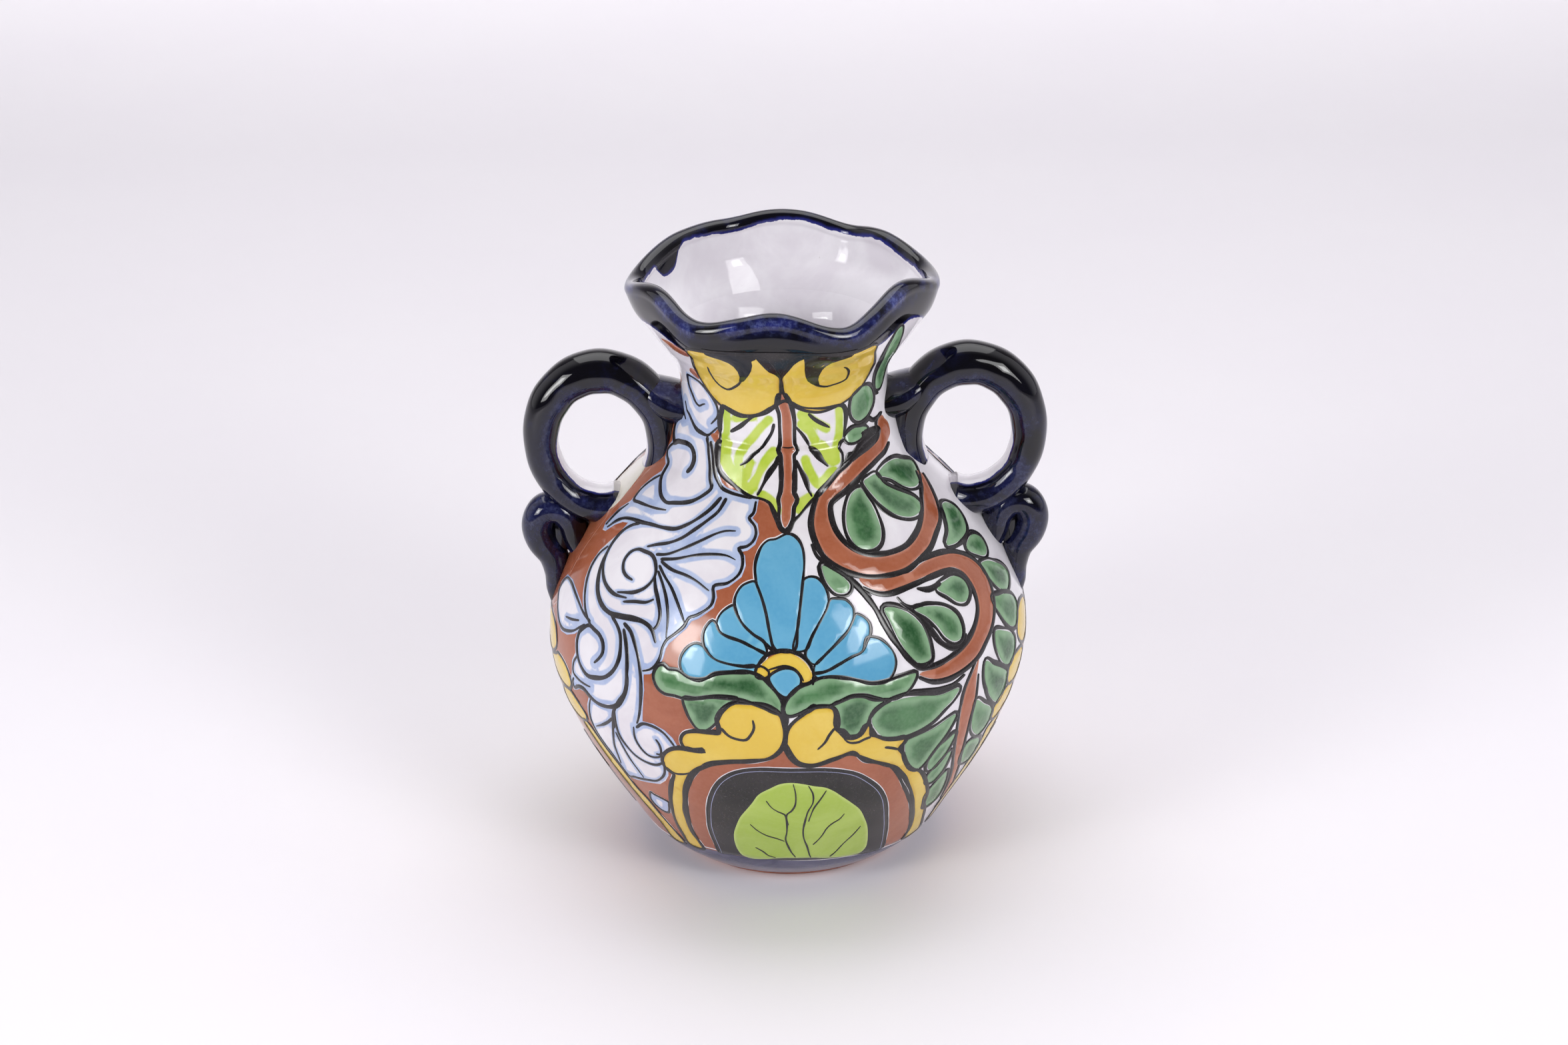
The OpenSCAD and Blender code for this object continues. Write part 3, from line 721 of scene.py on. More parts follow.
def draw_yellow_scrolls():
    """Yellow scrolls that curl over the arch and run down both of its sides."""
    left = [-1.8, 75.3, -2.3, 77.7, -3.5, 79.3, -6, 80.8, -10, 81, -13, 80.7, -15, 78.7, -16.3, 75.7,
            -15.8, 73, -16, 70.9, -18.5, 70.5, -22, 70, -24.5, 68.7, -25.4, 66.3, -24.8, 64.2, -22.5, 63.8,
            -20, 64.2, -23, 62.9, -26.5, 62.5, -29, 61, -31, 58.3, -31.8, 55, -31, 52.7, -29.5, 51.4,
            -31, 46.9, -33, 41.3, -34.5, 36.9, -36, 31.9, -37.5, 26.9, -38.5, 22.5, -39, 17.5, -39, 13.6,
            -33.6, 13.6, -34.5, 20.6, -34, 25, -33, 29.4, -32, 33.8, -30.5, 38.8, -29, 44.4, -27.8, 48.1,
            -25.5, 53.1, -23.5, 55.8, -21.5, 57.7, -19.5, 59.3, -16, 60.9, -13, 61.8, -9.5, 62.2, -7, 63,
            -4.5, 64.3, -2.5, 67, -1.6, 70.3, -1.5, 73]
    shape("yellow", left, 1.7, hair=0.2)
    line([-15.8, 73, -14, 70.7, -12, 69.8, -10, 69.8, -8.8, 71.7, -8.1, 74, -8.4, 76.5], 1.2, (0.9, 0.4))
    line([-20, 64.2, -22.5, 63.7, -25, 64], 1.5, (0.4, 0.9))
    line([-31.4, 53.5, -29.5, 51.8, -27, 52.4, -24.5, 54], 1.0, (0.9, 0.3))
    right = [-0.6, 69.4, -0.4, 72.1, 0.3, 74.2, 1.5, 76, 2.8, 77.3, 4.4, 78.8, 5.9, 79.9, 8, 79.9,
             9.3, 79.6, 10.1, 78.6, 10.5, 76.5, 10.5, 74.4, 10.3, 72.9, 10.9, 71.9, 11.9, 71.6, 12.7, 70.3,
             13.2, 69.5, 14.3, 69.2, 15.6, 69.4, 16.6, 70.6, 17.3, 72.2, 17.8, 72.6, 18.2, 72.1, 18.2, 70.5,
             18.4, 68.8, 19.6, 68.1, 21, 67, 22.7, 66.1, 25, 65.4, 26.8, 65.3, 27.4, 65, 27.2, 64,
             26.2, 62.8, 25.8, 61.6, 26.8, 59.6, 27.5, 58, 28.5, 55.2, 30.3, 52, 32.1, 50, 33.8, 48.7,
             35.6, 46.1, 37.4, 42.8, 39.6, 38.7, 41.9, 33.7, 43.3, 29, 45.6, 25.7, 47.8, 22.3, 50.6, 17.7,
             53.3, 13.7, 55.3, 10.4, 46.7, 11, 46.1, 16.3, 44.4, 20.3, 42.2, 24.3, 39.4, 29.7, 37.3, 34.3,
             36.1, 36.7, 34.1, 40.9, 32, 45, 30.1, 48.8, 28.1, 52.1, 26.8, 54.1, 25.4, 55.5, 23.5, 56.8,
             21.5, 58.4, 20.1, 59.1, 18, 60, 16.6, 61.9, 15.5, 63.8, 14.4, 64.5, 12.8, 64, 11, 63,
             9.2, 62.2, 7.4, 61.4, 5.3, 60.8, 3.2, 61, 1.7, 61.9, 0.5, 63.6, -0.3, 65.7, -0.7, 67.8]
    shape("yellow", right, 1.6, hair=0.2)
    line([10.4, 73.5, 9.6, 72.3, 8.8, 70.9, 8.1, 69.1, 7.5, 68, 6.2, 66.3], 1.2, (0.9, 0.3))
    line([12.2, 69.6, 13.2, 68, 14.3, 67.4, 15.9, 67.4, 17.2, 68.1, 18.7, 68.5], 1.1, (0.4, 0.9))
    line([22.3, 63.6, 24, 62.8, 25.6, 61.8, 26.8, 61.1], 1.3, (0.9, 0.6))
    fill("line", [2.6, 78.4, 4.2, 80.6, 5.5, 81.5, 6.6, 80.9, 8.4, 80.7, 8.4, 80, 5.9, 79.7,
                  4.4, 78.6], LINE, 1.2)


def draw_arch():
    """Banded terracotta and black arch round a lime disc with veins."""
    outer = [-33, 14.3, -33.3, 20.6, -32.5, 26.3, -31, 32.5, -29.5, 38.1, -28, 43.8, -26, 48.8, -23.5, 53.8,
             -20, 59, -16, 61, -10, 62.3, -5, 63.2, -2.3, 66, -1.2, 69, 0.3, 65, 2, 61.8, 5, 60.7, 10, 62.5,
             14, 63.4, 16.5, 61.8, 20, 59, 24.4, 55.7, 27.2, 51, 30, 45, 32.8, 39.7, 35.6, 34.3, 38.3, 29,
             41.1, 23.7, 43.3, 19.7, 45, 15.7, 45.4, 10.6]
    base = [37, 11.4, 20, 12.6, 0, 13.6, -20, 14]
    fill("terracotta", outer + base, GROUND + 0.03, 2.6)
    line(outer, 1.3, (0.8, 0.8), hair=0.22)
    black_edge = [-26.7, 14, -26.4, 21.3, -25.6, 28, -24.3, 33.8, -22.9, 39.4, -21.4, 44.3, -19.5, 49.1,
                  -16.8, 53.8, -13, 57.5, -8, 59.3, 0, 59.3, 8, 58.7, 13.2, 57, 16.3, 55, 20, 50.9,
                  23.3, 46.2, 25.8, 41, 27.6, 35.9, 29.3, 30.5, 31.4, 24.6, 33.5, 18.5, 35.6, 11.4]
    fill("line", black_edge + [20, 12.7, 0, 13.7, -20, 14.2], COLOUR, 2.2)
    rim = curve(black_edge, 1.2)
    ribbon("line", rim, 0.8, COLOUR, tips=(1, 1))
    ribbon("hair", rim, 1.5, WHITE, HAIR_RISE, tips=(1, 1))
    ribbon("pale_blue", offset(rim, -1.25, False), 0.3, COLOUR + 0.03, 0.02)
    disc = [-18.4, 21.9, -17.5, 26.9, -16, 31.3, -14, 36.3, -12, 40, -10, 43.8, -8, 48, -5, 51, -2.5, 53,
            0, 53.5, 3, 52.8, 6, 51.5, 8.3, 50.7, 10.6, 48.7, 13.3, 45.3, 16.1, 41.7, 18.9, 37.7, 21.1, 33,
            23.3, 27.7, 25, 22.3, 26.1, 18.3, 26.4, 15.3, 25, 13, 19, 12.9, 15, 13.4, 11, 13.9, 8, 14.6,
            2, 15, -4, 15, -10, 14, -14.5, 13.8, -17.3, 15, -18.3, 17.5]
    fill("lime", disc, COLOUR + 0.04, 2.2)
    for vein in ([0.6, 53, 1.2, 48, 1, 43, 0, 40.3, -1, 39, -1.3, 37, -0.8, 33.3],
                 [-6.3, 45.3, -5, 42, -3.3, 40, -1.8, 38.8, -1.3, 36, -1.3, 30, -1.8, 25.5, -1.2, 22, 0, 18,
                  1.3, 15.5],
                 [-11.7, 33, -10, 30, -7.5, 27.5, -4.5, 26, -2.2, 24.5],
                 [-11.8, 20.3, -9.5, 18.2, -8, 16.3, -5.5, 15.2],
                 [4.3, 52, 5.5, 48, 5.6, 44, 4.5, 40, 3.8, 35, 3.4, 30, 3.8, 25.5, 5, 21, 6, 16.5, 6.5, 15],
                 [8.8, 49.3, 7.5, 45.5, 6, 41.5, 5.2, 37.5, 4.8, 34.8],
                 [14.6, 37, 13.5, 34.5, 11.5, 32.5, 10.3, 30.5, 9.3, 27, 8, 24, 6.8, 22],
                 [20.9, 28.7, 19.5, 25, 17, 20.5, 15, 16.5, 13.3, 14.3]):
        ribbon("line", curve(vein, 1.1), 0.75, LINE + 0.03, tips=(0.4, 0.6), wob=0.2)


def draw_side_panel():
    """Scalloped yellow arches under the handles, left edge and right edge of the front."""
    shape("yellow", [-62, 54.4, -59.5, 50, -57, 45, -55, 40, -53.5, 35, -52, 30, -50.5, 25, -49.5, 20,
                     -49, 16.3, -48.4, 11.4, -42.4, 12.4, -43.6, 16.9, -45, 21.3, -46, 26.3, -47, 31.3,
                     -49, 35, -50.5, 40, -52, 44.4, -54.5, 48.8, -56.5, 52.5, -58.6, 55.4,
                     -60.6, 56], 1.2, hair=0.22)
    for lobe in ([-73.5, 75.6, -75, 79.1, -78, 80.4, -82, 80.6, -86, 80, -90, 79, -92, 77.4, -92.3, 75.2,
                  -91, 72.6, -86, 70.8, -79.3, 70.4, -75.5, 72.6],
                 [-73.5, 71.6, -72, 72.8, -69, 73.1, -66, 72.2, -63.8, 70, -63.5, 68.1, -65, 65.6,
                  -68.5, 64.4, -74, 63.8, -79, 65, -80, 68, -76, 70.2],
                 [-68, 63.2, -65, 64, -62, 62.7, -59.5, 60.9, -58.5, 59.1, -60, 56.8, -63, 55.6, -67, 55.2,
                  -71, 56.6, -72, 60, -70, 62.4],
                 [71.5, 78, 74, 82, 78, 83.5, 83, 82.6, 86, 80.4, 86.8, 77.4, 85.6, 74.2, 82, 72, 77, 71.8,
                  73.4, 74.2],
                 [64, 67.6, 64.6, 70.6, 67, 72, 71, 72, 75, 70.6, 76, 67, 73.4, 63.8, 69, 62.8, 65.6, 64.4],
                 [58.8, 57, 59.4, 60.4, 63, 62.7, 67, 63, 70, 61, 69.6, 57, 66, 54.4, 61.6, 53.8]):
        shape("yellow", lobe, 1.2, hair=0.2, lift=COLOUR + 0.015 * (lobe[1] % 2))
    shape("yellow", [60, 51.2, 60, 47, 59, 40, 58, 35, 57.5, 28, 58.6, 20, 60, 12, 66, 12, 64.6, 20,
                     63.6, 28, 64, 35, 65, 40, 66, 47, 66.6, 51.2, 63.4, 52.4], 1.2, hair=0.2)
    shape("green", [-70, 45, -66.6, 37, -65, 29, -66.4, 21, -71, 17.6, -76, 22, -77.6, 31, -75, 40], 1.2,
          hair=0.25)
    shape("green", [70, 45, 68.4, 37, 69, 28, 71.6, 20, 75, 17.6, 78.6, 22, 79.6, 31,
                    76.6, 40], 1.2, hair=0.25)
    shape("lime", [-90, 64, -84.6, 58, -82, 48, -82.6, 38, -86, 29, -90, 24, -94, 29, -97.4, 38, -98, 48,
                   -95.4, 58], 1.4, hair=0.25)
    for vein in ([-90, 60, -90.4, 48, -89.8, 36, -90, 27], [-90, 48, -87, 51.5, -85, 56],
                 [-90.2, 47, -93.4, 50.6, -95, 55], [-89.9, 38, -86.6, 41.6, -84.4, 46],
                 [-90, 37, -93.2, 40.6, -95.4, 45]):
        ribbon("line", curve(vein, 1.1), 0.9, LINE + 0.02, tips=(0.4, 0.4), wob=0.2)
    line([-71, 40, -71.4, 31, -71.2, 23], 0.8)
    line([74, 40, 74, 31, 74.4, 23], 0.8)


def draw_vines():
    """Terracotta S-shaped vine of the right half, its ring and its stem."""
    top = [65.6, 147.4, 60.3, 146.8, 57.4, 144.7, 55.6, 142.9, 49.7, 141.8, 42.1, 140.9, 36.2, 139.7,
           30.3, 137.9, 26.2, 136.8, 20.9, 134.4, 15, 132, 12.6, 129.7, 10.6, 126.2, 10.9, 122.6,
           13.2, 118.5, 17.4, 115.6, 21.5, 113.8, 25.6, 112.6, 31.5, 111.9, 37.9, 111.8, 43.8, 112.9,
           49.7, 114.1, 55.6, 116.2, 61.5, 117.9, 65.6, 120.3, 69.7, 123.8, 73, 127.6]
    low = [71.8, 128.6, 67.9, 125.6, 63.2, 123.8, 58.5, 121.5, 52.6, 118.8, 46.8, 116.8, 40.9, 115.6,
           32.6, 115.6, 26.8, 116.5, 22.1, 118.5, 18.5, 121.5, 16.8, 124.4, 16.5, 127.4, 17.9, 130.3,
           21.5, 131.6, 26.8, 132.8, 32.6, 134.4, 39.1, 136.2, 45, 137.4, 49.7, 138.2, 56.2, 139.1,
           62.1, 140.6, 66.5, 142.1, 67.4, 144.4]
    fill("terracotta", top + low, COLOUR, 1.9)
    line(top, 1.8, (0.7, 0.7), shift=-0.95)
    line(low[:-4], 1.8, (0.7, 0.7), shift=-0.95)
    ring_out = [21.8, 112.1, 25.6, 111.5, 31.5, 110.9, 38.5, 110.3, 43.8, 111.2, 47.9, 111.2, 52.6, 110.6,
                57.4, 109.4, 61.5, 107.1, 64.1, 104.4, 65.3, 100.9, 65, 96.8, 63.5, 93.2, 60.9, 89.7,
                57.9, 87.1, 54.4, 85, 50.3, 82.6, 45, 81.2, 39.7, 80.9, 35.6, 81.8, 32.1, 84.4]
    ring_in = [32.6, 84.7, 37.4, 84.4, 42.1, 85, 46.8, 86.2, 50.9, 88.2, 54.4, 90.9, 56.8, 93.8, 58.1, 97.4,
               58.2, 100.9, 57.4, 104.1, 55, 106.5, 51.5, 107.6, 46.8, 108.1, 39.7, 108.1, 33.2, 107.9,
               28.5, 107.9, 25.6, 108.8, 22.6, 110.6]
    fill("terracotta", ring_out + ring_in, COLOUR, 1.9)
    line(ring_out[6:], 1.8, (0.5, 0.5), shift=0.95)
    line(ring_in, 1.8, (0.5, 0.4), shift=0.95)
    left = [51, 81.6, 50.6, 81, 48.3, 78.3, 45.6, 74.3, 44.2, 69.7, 43.9, 64.3, 44.4, 57.7, 45.6, 52.3,
            47.2, 47, 49.4, 41.7, 51.7, 36.3, 53.9, 31, 56.7, 24.3]
    right = [56.7, 29.7, 53.9, 35, 51.1, 41.7, 49.4, 45.7, 48.3, 51, 47.5, 56.3, 47.2, 61.7, 47.8, 66.3,
             48.6, 71.7, 49.4, 77]
    fill("terracotta", left + right, COLOUR, 1.6)
    line(left, 1.2, (0.7, 0.4), shift=-0.9)
    line(right, 1.2, (0.4, 0.6), shift=-0.9)
    line([28.5, 139.5, 35, 141, 42, 143.5, 50, 144.5, 56, 145], 1.9, (0.3, 0.6))


def draw_leaves():
    """Green leaves of the right half and the black strokes between them."""
    leaves = [
        [11.2, 116.3, 14, 115, 17, 113, 18.3, 111, 17, 109.5, 14.5, 109.7, 12.5, 111.5, 11.3, 113.8],
        [34.5, 131.8, 30, 131.3, 26, 129, 23.5, 126, 22.8, 122.5, 24.5, 119.3, 28, 118.2, 32, 118.8,
         35, 121.5, 36, 125.5, 35.8, 129],
        [38, 133, 41, 133.5, 46, 133.6, 47, 131, 50, 129, 54, 127, 57.5, 125, 58.3, 123.3, 55.5, 121.7,
         51, 121.6, 46, 123, 42, 125.5, 39.3, 129],
        [47.5, 133.4, 52, 134.6, 58, 134.9, 64, 134.2, 69, 132.6, 74, 130.8, 70, 128, 65, 126.6, 60, 127.2,
         56, 128.9, 53, 131.2],
        [26.7, 103.8, 29.4, 103.6, 33.6, 100.6, 36, 96.5, 36.5, 91.3, 35.7, 87.6, 32.9, 87.4, 30.8, 89.8,
         28.8, 94.5, 27.3, 100.6],
        [35.5, 101.5, 38.9, 101.3, 44.5, 99.2, 47.6, 95.9, 47.8, 91.6, 46.5, 89.5, 44.4, 89.5, 42.2, 91.7,
         40.5, 95.6, 38.2, 98.9],
        [45, 104.3, 49, 105, 53, 104.8, 55.5, 102.5, 55.3, 99.5, 52.8, 97.8, 50, 98.8, 47.5, 101.5],
        [57.5, 112, 62, 114, 66, 117, 69, 119.3, 72, 119, 75, 116.5, 74.5, 113.8, 71, 111.3, 65, 110.8,
         60, 111.2],
        [65, 108, 69, 109.3, 73, 108.8, 75.5, 106.5, 74.5, 104.2, 71.5, 103.2, 68, 105],
        [66.5, 102.5, 70, 102, 74, 99.5, 77.5, 96.5, 79, 93.5, 76, 91.7, 72.5, 91.5, 69, 94.5, 67, 98.5],
        [63.8, 93.5, 67, 92.5, 71, 91, 75, 88, 76, 85.5, 74, 83, 70.5, 81, 67, 83.5, 64.8, 88],
        [60, 85, 64, 83, 67.5, 80, 68.8, 77, 67.5, 73.5, 64, 72, 61, 74.5, 59, 79, 58.8, 82.5],
        [53.5, 79, 56.5, 76, 60, 73, 63, 69.5, 63, 65, 61.5, 62, 59.5, 61.5, 56, 65, 53.5, 70, 52.5, 75],
        [49.3, 68, 53, 64.5, 57, 60.5, 58.3, 56.5, 57, 53, 54.8, 52, 51, 55.5, 49, 60, 48.8, 64.5],
        [50.5, 51, 54, 50.5, 57.5, 48, 59, 44, 58.5, 40, 55, 40.5, 51.5, 43, 50, 47],
        [45.8, 42, 43.5, 38.5, 42, 34.5, 43.5, 30, 45, 27, 48, 25.7, 50.5, 27, 50, 32, 48, 37.5],
        [20, 76.5, 23, 78.3, 27, 78.7, 32, 77.8, 37, 76, 43, 75.5, 41, 73, 38, 71, 35, 68.5, 31, 66.8,
         26, 66.3, 22, 67.5, 19.5, 71.5, 19, 74],
        [28, 63.5, 31, 64.5, 35, 65, 40, 66.8, 42, 67, 40, 62, 37, 57, 35, 52.5, 33.5, 50.5, 31, 52, 29, 56,
         28, 60],
        [37.8, 56, 40.4, 58, 42.8, 59.5, 42, 54, 40.8, 50.6, 39, 47.8, 37.6, 47.6, 36.6, 49.9, 36.6, 53],
        [41.6, 50.4, 43.5, 52, 43.8, 48, 43.2, 43.5, 41.2, 40.5, 39.2, 41.3, 38.2, 43.6, 38.8, 46,
         40.6, 48.8]]
    for leaf in leaves:
        shape("green", leaf, 1.3, gap=0.45, wob=0.34)
    line([8.5, 121.5, 10, 118.5, 13, 116.5, 17, 114, 19, 112, 24, 107.5], 1.3, (0.5, 0.3))
    line([31.7, 104.2, 35.3, 100.1, 37.8, 96, 40.1, 90.9, 43.2, 88, 46.8, 87.4, 48.8, 90], 1.9, (0.4, 0.5))
    line([31.4, 105.8, 32.8, 103.6, 35.2, 102.2, 39.3, 102, 44, 100.5], 1.3, (0.4, 0.4))
    line([38.4, 106.2, 42.1, 104.9, 47, 105], 1.7, (0.3, 0.9))
    line([18.5, 113, 21.3, 109.6, 23.9, 105.1, 25.8, 99.3, 28, 93.8, 30.4, 88.9, 33.2, 85.8, 35.1, 86.5], 1.9,
         (0.9, 0.4))
    line([18, 74, 20, 77, 23.5, 79.4, 29, 80, 35, 78.3, 41, 77.6, 45.3, 79], 1.6, (0.5, 0.4))
    shape("green", [50.5, 180.8, 48.6, 178, 48.6, 173.6, 54.4, 166, 57.6, 160.4, 60.3, 157.4, 65.1, 156.8,
                    68, 158.6, 66, 163, 59.5, 169.6, 55.9, 175, 55.1, 178.3, 53.6, 181.2], 0.9, gap=0.3)
    line([48.6, 180, 47, 177, 47.4, 172.6, 52.6, 165.4, 55.8, 160, 58.6, 156.4, 63, 155.2], 1.8, (0.4, 0.5))
    shape("green", [45.2, 160.7, 49.8, 160.3, 54, 158.5, 56.6, 155.7, 56.4, 153.5, 53.6, 151.8, 49.6, 150.4,
                    44, 150, 40.4, 151.5, 39.1, 153.9, 39.1, 156.1, 40, 158.6, 42.5, 160], 1.3, gap=0.3)
    shape("green", [33.6, 146.4, 35.7, 147.3, 40.6, 148.2, 46.5, 147.6, 49.3, 146.7, 46.2, 145.8, 41.8, 145,
                    37.2, 144.7, 33.7, 145.3], 0.9, gap=0.2)
    fill("line", [44.4, 146.2, 52.4, 146.4, 58.6, 145.4, 55.4, 142.8, 47.5, 141.2, 39.5, 140.2, 33.3, 139.2,
                  30.4, 139.6, 32.1, 142.1, 37.8, 142.2, 42.1, 143.8], LINE, 1.4)
    line([32.5, 147.4, 38, 148.8, 46, 148.4, 52, 149.2, 56, 147.9, 66, 148.4], 1.7, (0.3, 0.4))


def draw_neck():
    """Yellow lobes under the lip, the shield leaf and its stem."""
    left = [-2.5, 172, -2.6, 166.7, -2.9, 162.8, -3.8, 160.7, -6, 158.8, -9.8, 157, -14.2, 156,
            -19.5, 155.4, -25, 155, -29, 155.4, -33.2, 156.3, -37.4, 157.5, -41.5, 159.2, -44.6, 161.7,
            -46, 164.6, -45, 167.8, -42.4, 171.7, -40, 175, -38, 179, -20, 179.5, -8, 179]
    right = [-0.6, 172, -0.4, 167.9, 0.1, 164.3, 1.8, 161.7, 4.6, 159.6, 9, 158, 14.8, 156.8, 19.4, 156.4,
             27.2, 156.9, 33.8, 158, 39.8, 159.6, 44.2, 161.5, 46, 164.7, 44.7, 168.7, 41.6, 172.9,
             38.6, 176.5, 37, 179.5, 20, 179.5, 6, 179.5]
    shape("yellow", left, 1.1)
    shape("yellow", right, 1.1)
    line([-34.3, 172.5, -35, 170.8, -35.8, 167.9, -35.3, 165.7, -33.8, 164.4, -31.5, 163.6, -29.2, 163.6,
          -25.3, 165.1, -22.5, 166.6, -20, 168.6], 1.0, (0.4, 0.9))
    fill("line", [-31, 181, -30, 179, -24.8, 177.4, -22.4, 176.2, -20.8, 174.6, -19.9, 172.6, -20, 170.4,
                  -22, 167.2, -18.7, 168.5, -15.5, 171.4, -13.8, 173.5, -12.8, 175.9, -12.8, 177.6,
                  -11, 178.4, -10, 181], LINE, 1.4, rounded=False, edge_tilt=0)
    line([14.6, 166.9, 17.6, 165.9, 21.3, 165.3, 24.7, 165.6, 28.2, 166, 30.7, 166.8, 30.8, 168.6,
          29.2, 171, 27, 172.6, 25.6, 173.2], 1.1, (1, 0.4))
    fill("line", [7.2, 181, 8, 177.2, 8.5, 173.6, 9.2, 171.2, 10.6, 168.9, 12.8, 167.4, 15.6, 166.1,
                  17, 166.6, 15.6, 169, 15.3, 170.9, 15.9, 173.3, 16.9, 175, 18.4, 176.9, 21, 178,
                  25, 178.9, 27, 181],
         LINE, 1.4, rounded=False, edge_tilt=0)
    fill("line", [-12, 181, -10.6, 178.3, -9.1, 176.4, -7.7, 174.7, -6.2, 173.3, -4, 172.4, -2.6, 171.2,
                  -1.2, 169.5, -0.4, 171.4, 0.7, 172.6, 2.1, 174.2, 3.7, 176.3, 5.7, 177.9, 8, 179,
                  9, 181], LINE, 1.4,
         rounded=False, edge_tilt=0)
    shield = [-35.2, 156.9, -37.3, 154, -37.8, 151.4, -36.9, 148.2, -36.4, 146.3, -35.7, 144.5,
              -35.4, 142.2, -34.5, 139.7, -33, 137.5, -29.5, 136, -25.7, 134.8, -21.3, 133.4, -17.8, 132.5,
              -14.5, 132, -10.8, 131.8, -7.2, 131, -5.3, 129.3, -3.5, 127.2, -2, 125.1, 0, 124.4,
              2.6, 126.9, 4.9, 128, 8.5, 130, 11.8, 131.4, 15.1, 132.4, 18.2, 133.8, 21.2, 135.4,
              24.5, 137.3, 28, 139.2, 29.4, 142.5, 28, 144.2, 29.7, 145.5, 32.3, 146.2, 33.3, 148,
              34.7, 151.2, 35, 154.1, 32.7, 156.6, 20, 157.2, 8, 158.6, 0, 161, -6, 158.8, -14, 156,
              -24, 155.2, -32, 156.4]
    strokes = [
        [-33.4, 156, -33, 152.5, -33, 148.3], [-34, 147, -33.8, 145.6, -33, 142.8, -31.5, 140.6, -29, 138.5,
                                               -25, 136.7, -20.5, 135, -17, 133.3],
        [-31, 145.5, -30.5, 142, -28, 139.6, -24, 137.8], [-27.5, 153.5, -22.7, 154.5, -17.3, 155],
        [-8.9, 154.3, -11.9, 152.2, -15.4, 149.9, -18.9, 147.2, -21.2, 145.2, -23.2, 143.4, -23.7, 141.7,
         -22.7, 139.8],
        [-17.3, 141.4, -18, 139, -20, 137, -23, 136.1], [-6.2, 144.9, -9.2, 142.9, -11.6, 140.2,
                                                         -13.4, 137.9, -14.9, 136, -15.4, 134.7],
        [-10.4, 132.4, -7.5, 131.7, -5, 130.5, -3.6, 129.2],
        [31, 155.5, 30.7, 151.7, 30.2, 148.5, 28.1, 145.5, 25.6, 143.4, 25.8, 141],
        [9.3, 155.9, 11.8, 154.8, 16.3, 152.8, 22.6, 150.5], [9.6, 152.8, 13.2, 150.5, 15.8, 147.5],
        [15.5, 145.2, 18.4, 144, 21.5, 141.8, 24.8, 140.7], [19.3, 145.5, 21.8, 143.3],
        [9.8, 142.3, 10.5, 140.4, 12.2, 138, 14.1, 135.8, 15.4, 135, 18, 136, 21.5, 137.8, 23.7, 138.2],
        [10.7, 132, 7.6, 131.2, 5.1, 129.4]]
    path = curve(shield, 1.1, closed=True)
    fill("shield", shield, COLOUR - 0.02, 1.1, near=np.vstack([curve(k, 1.0) for k in strokes]))
    ribbon("line", path, 1.6, LINE, closed=True, wob=0.3, wave=23)
    line([-35.2, 156.4, -37.2, 153.4, -37.6, 150.8, -36.9, 147.8], 2.4, (0.6, 0.4))
    line([-36.4, 146.3, -36.2, 143.5, -35.6, 140.8, -34, 138], 2.8, (0.7, 0.4))
    for vein, wide in (([-30.5, 149, -25, 151.2, -21.1, 153.2, -17.2, 155, -12.7, 156], 1.8),
                       ([-5.9, 153.2, -7, 150.5, -9.9, 147.6, -12.5, 145.5, -16.3, 143.7, -19.5, 141.5,
                         -22.7, 140.2], 1.5),
                       ([-3.4, 143.9, -4.7, 141.5, -7.9, 138.8, -10.2, 136, -12.9, 132.4], 1.9),
                       ([12.6, 156, 16.3, 153.8, 24.6, 150.5], 1.3),
                       ([4.9, 152.5, 8.7, 149.9, 11.5, 147.3, 12.8, 145.5], 1.1),
                       ([12.3, 145.8, 15.6, 143.9, 18, 141.8, 21, 139.6], 2.5),
                       ([5.2, 142.5, 7, 139.8, 9.2, 137, 10.1, 134.4, 11.4, 132], 1.7)):
        line(vein, wide, (0.5, 0.3), wob=0.25)
    stem = [-1.4, 163.5, -3, 159.5, -1.7, 156.5, -1.4, 152.2, -1.4, 146.5, -2.2, 145.2, -1.3, 144.3,
            -0.9, 140.7, -0.8, 137, -1.4, 133.3, -2.2, 131.9, -1.8, 130.2, -1.8, 127.2, -0.6, 125.4,
            1.3, 127.2, 2.2, 130.2, 3.6, 131.7, 2.6, 132.9, 2.8, 136.9, 3, 141.4, 3.2, 144.3, 4.9, 145.2,
            3.7, 146.5, 3.5, 150.5, 3.6, 153.8, 2.7, 157.4, 1.4, 160.3]
    shape("terracotta", stem, 1.5, gap=0.3, lift=COLOUR + 0.04, grid=1.0)
    line([-1.6, 145.9, 1.4, 145.7, 4.2, 145.9], 0.9, (0.5, 0.5))
    for side in ([-2.7, 144, -2.2, 140, -2.2, 136, -2.8, 133.4], [5.6, 142.4, 4.4, 139.6, 4.2, 136,
                                                                  4.4, 133.4]):
        line(side, 1.9, (0.4, 0.4))
    fill("terracotta", [-32, 136.4, -30, 136.2, -27, 134.9, -23.5, 133.5, -26, 133.2,
                        -29.5, 134], COLOUR - 0.04, 1.2)
    fill("terracotta", [-43.5, 146.5, -38, 147.4, -36, 145.9, -37, 144.9], COLOUR - 0.03, 1.2)


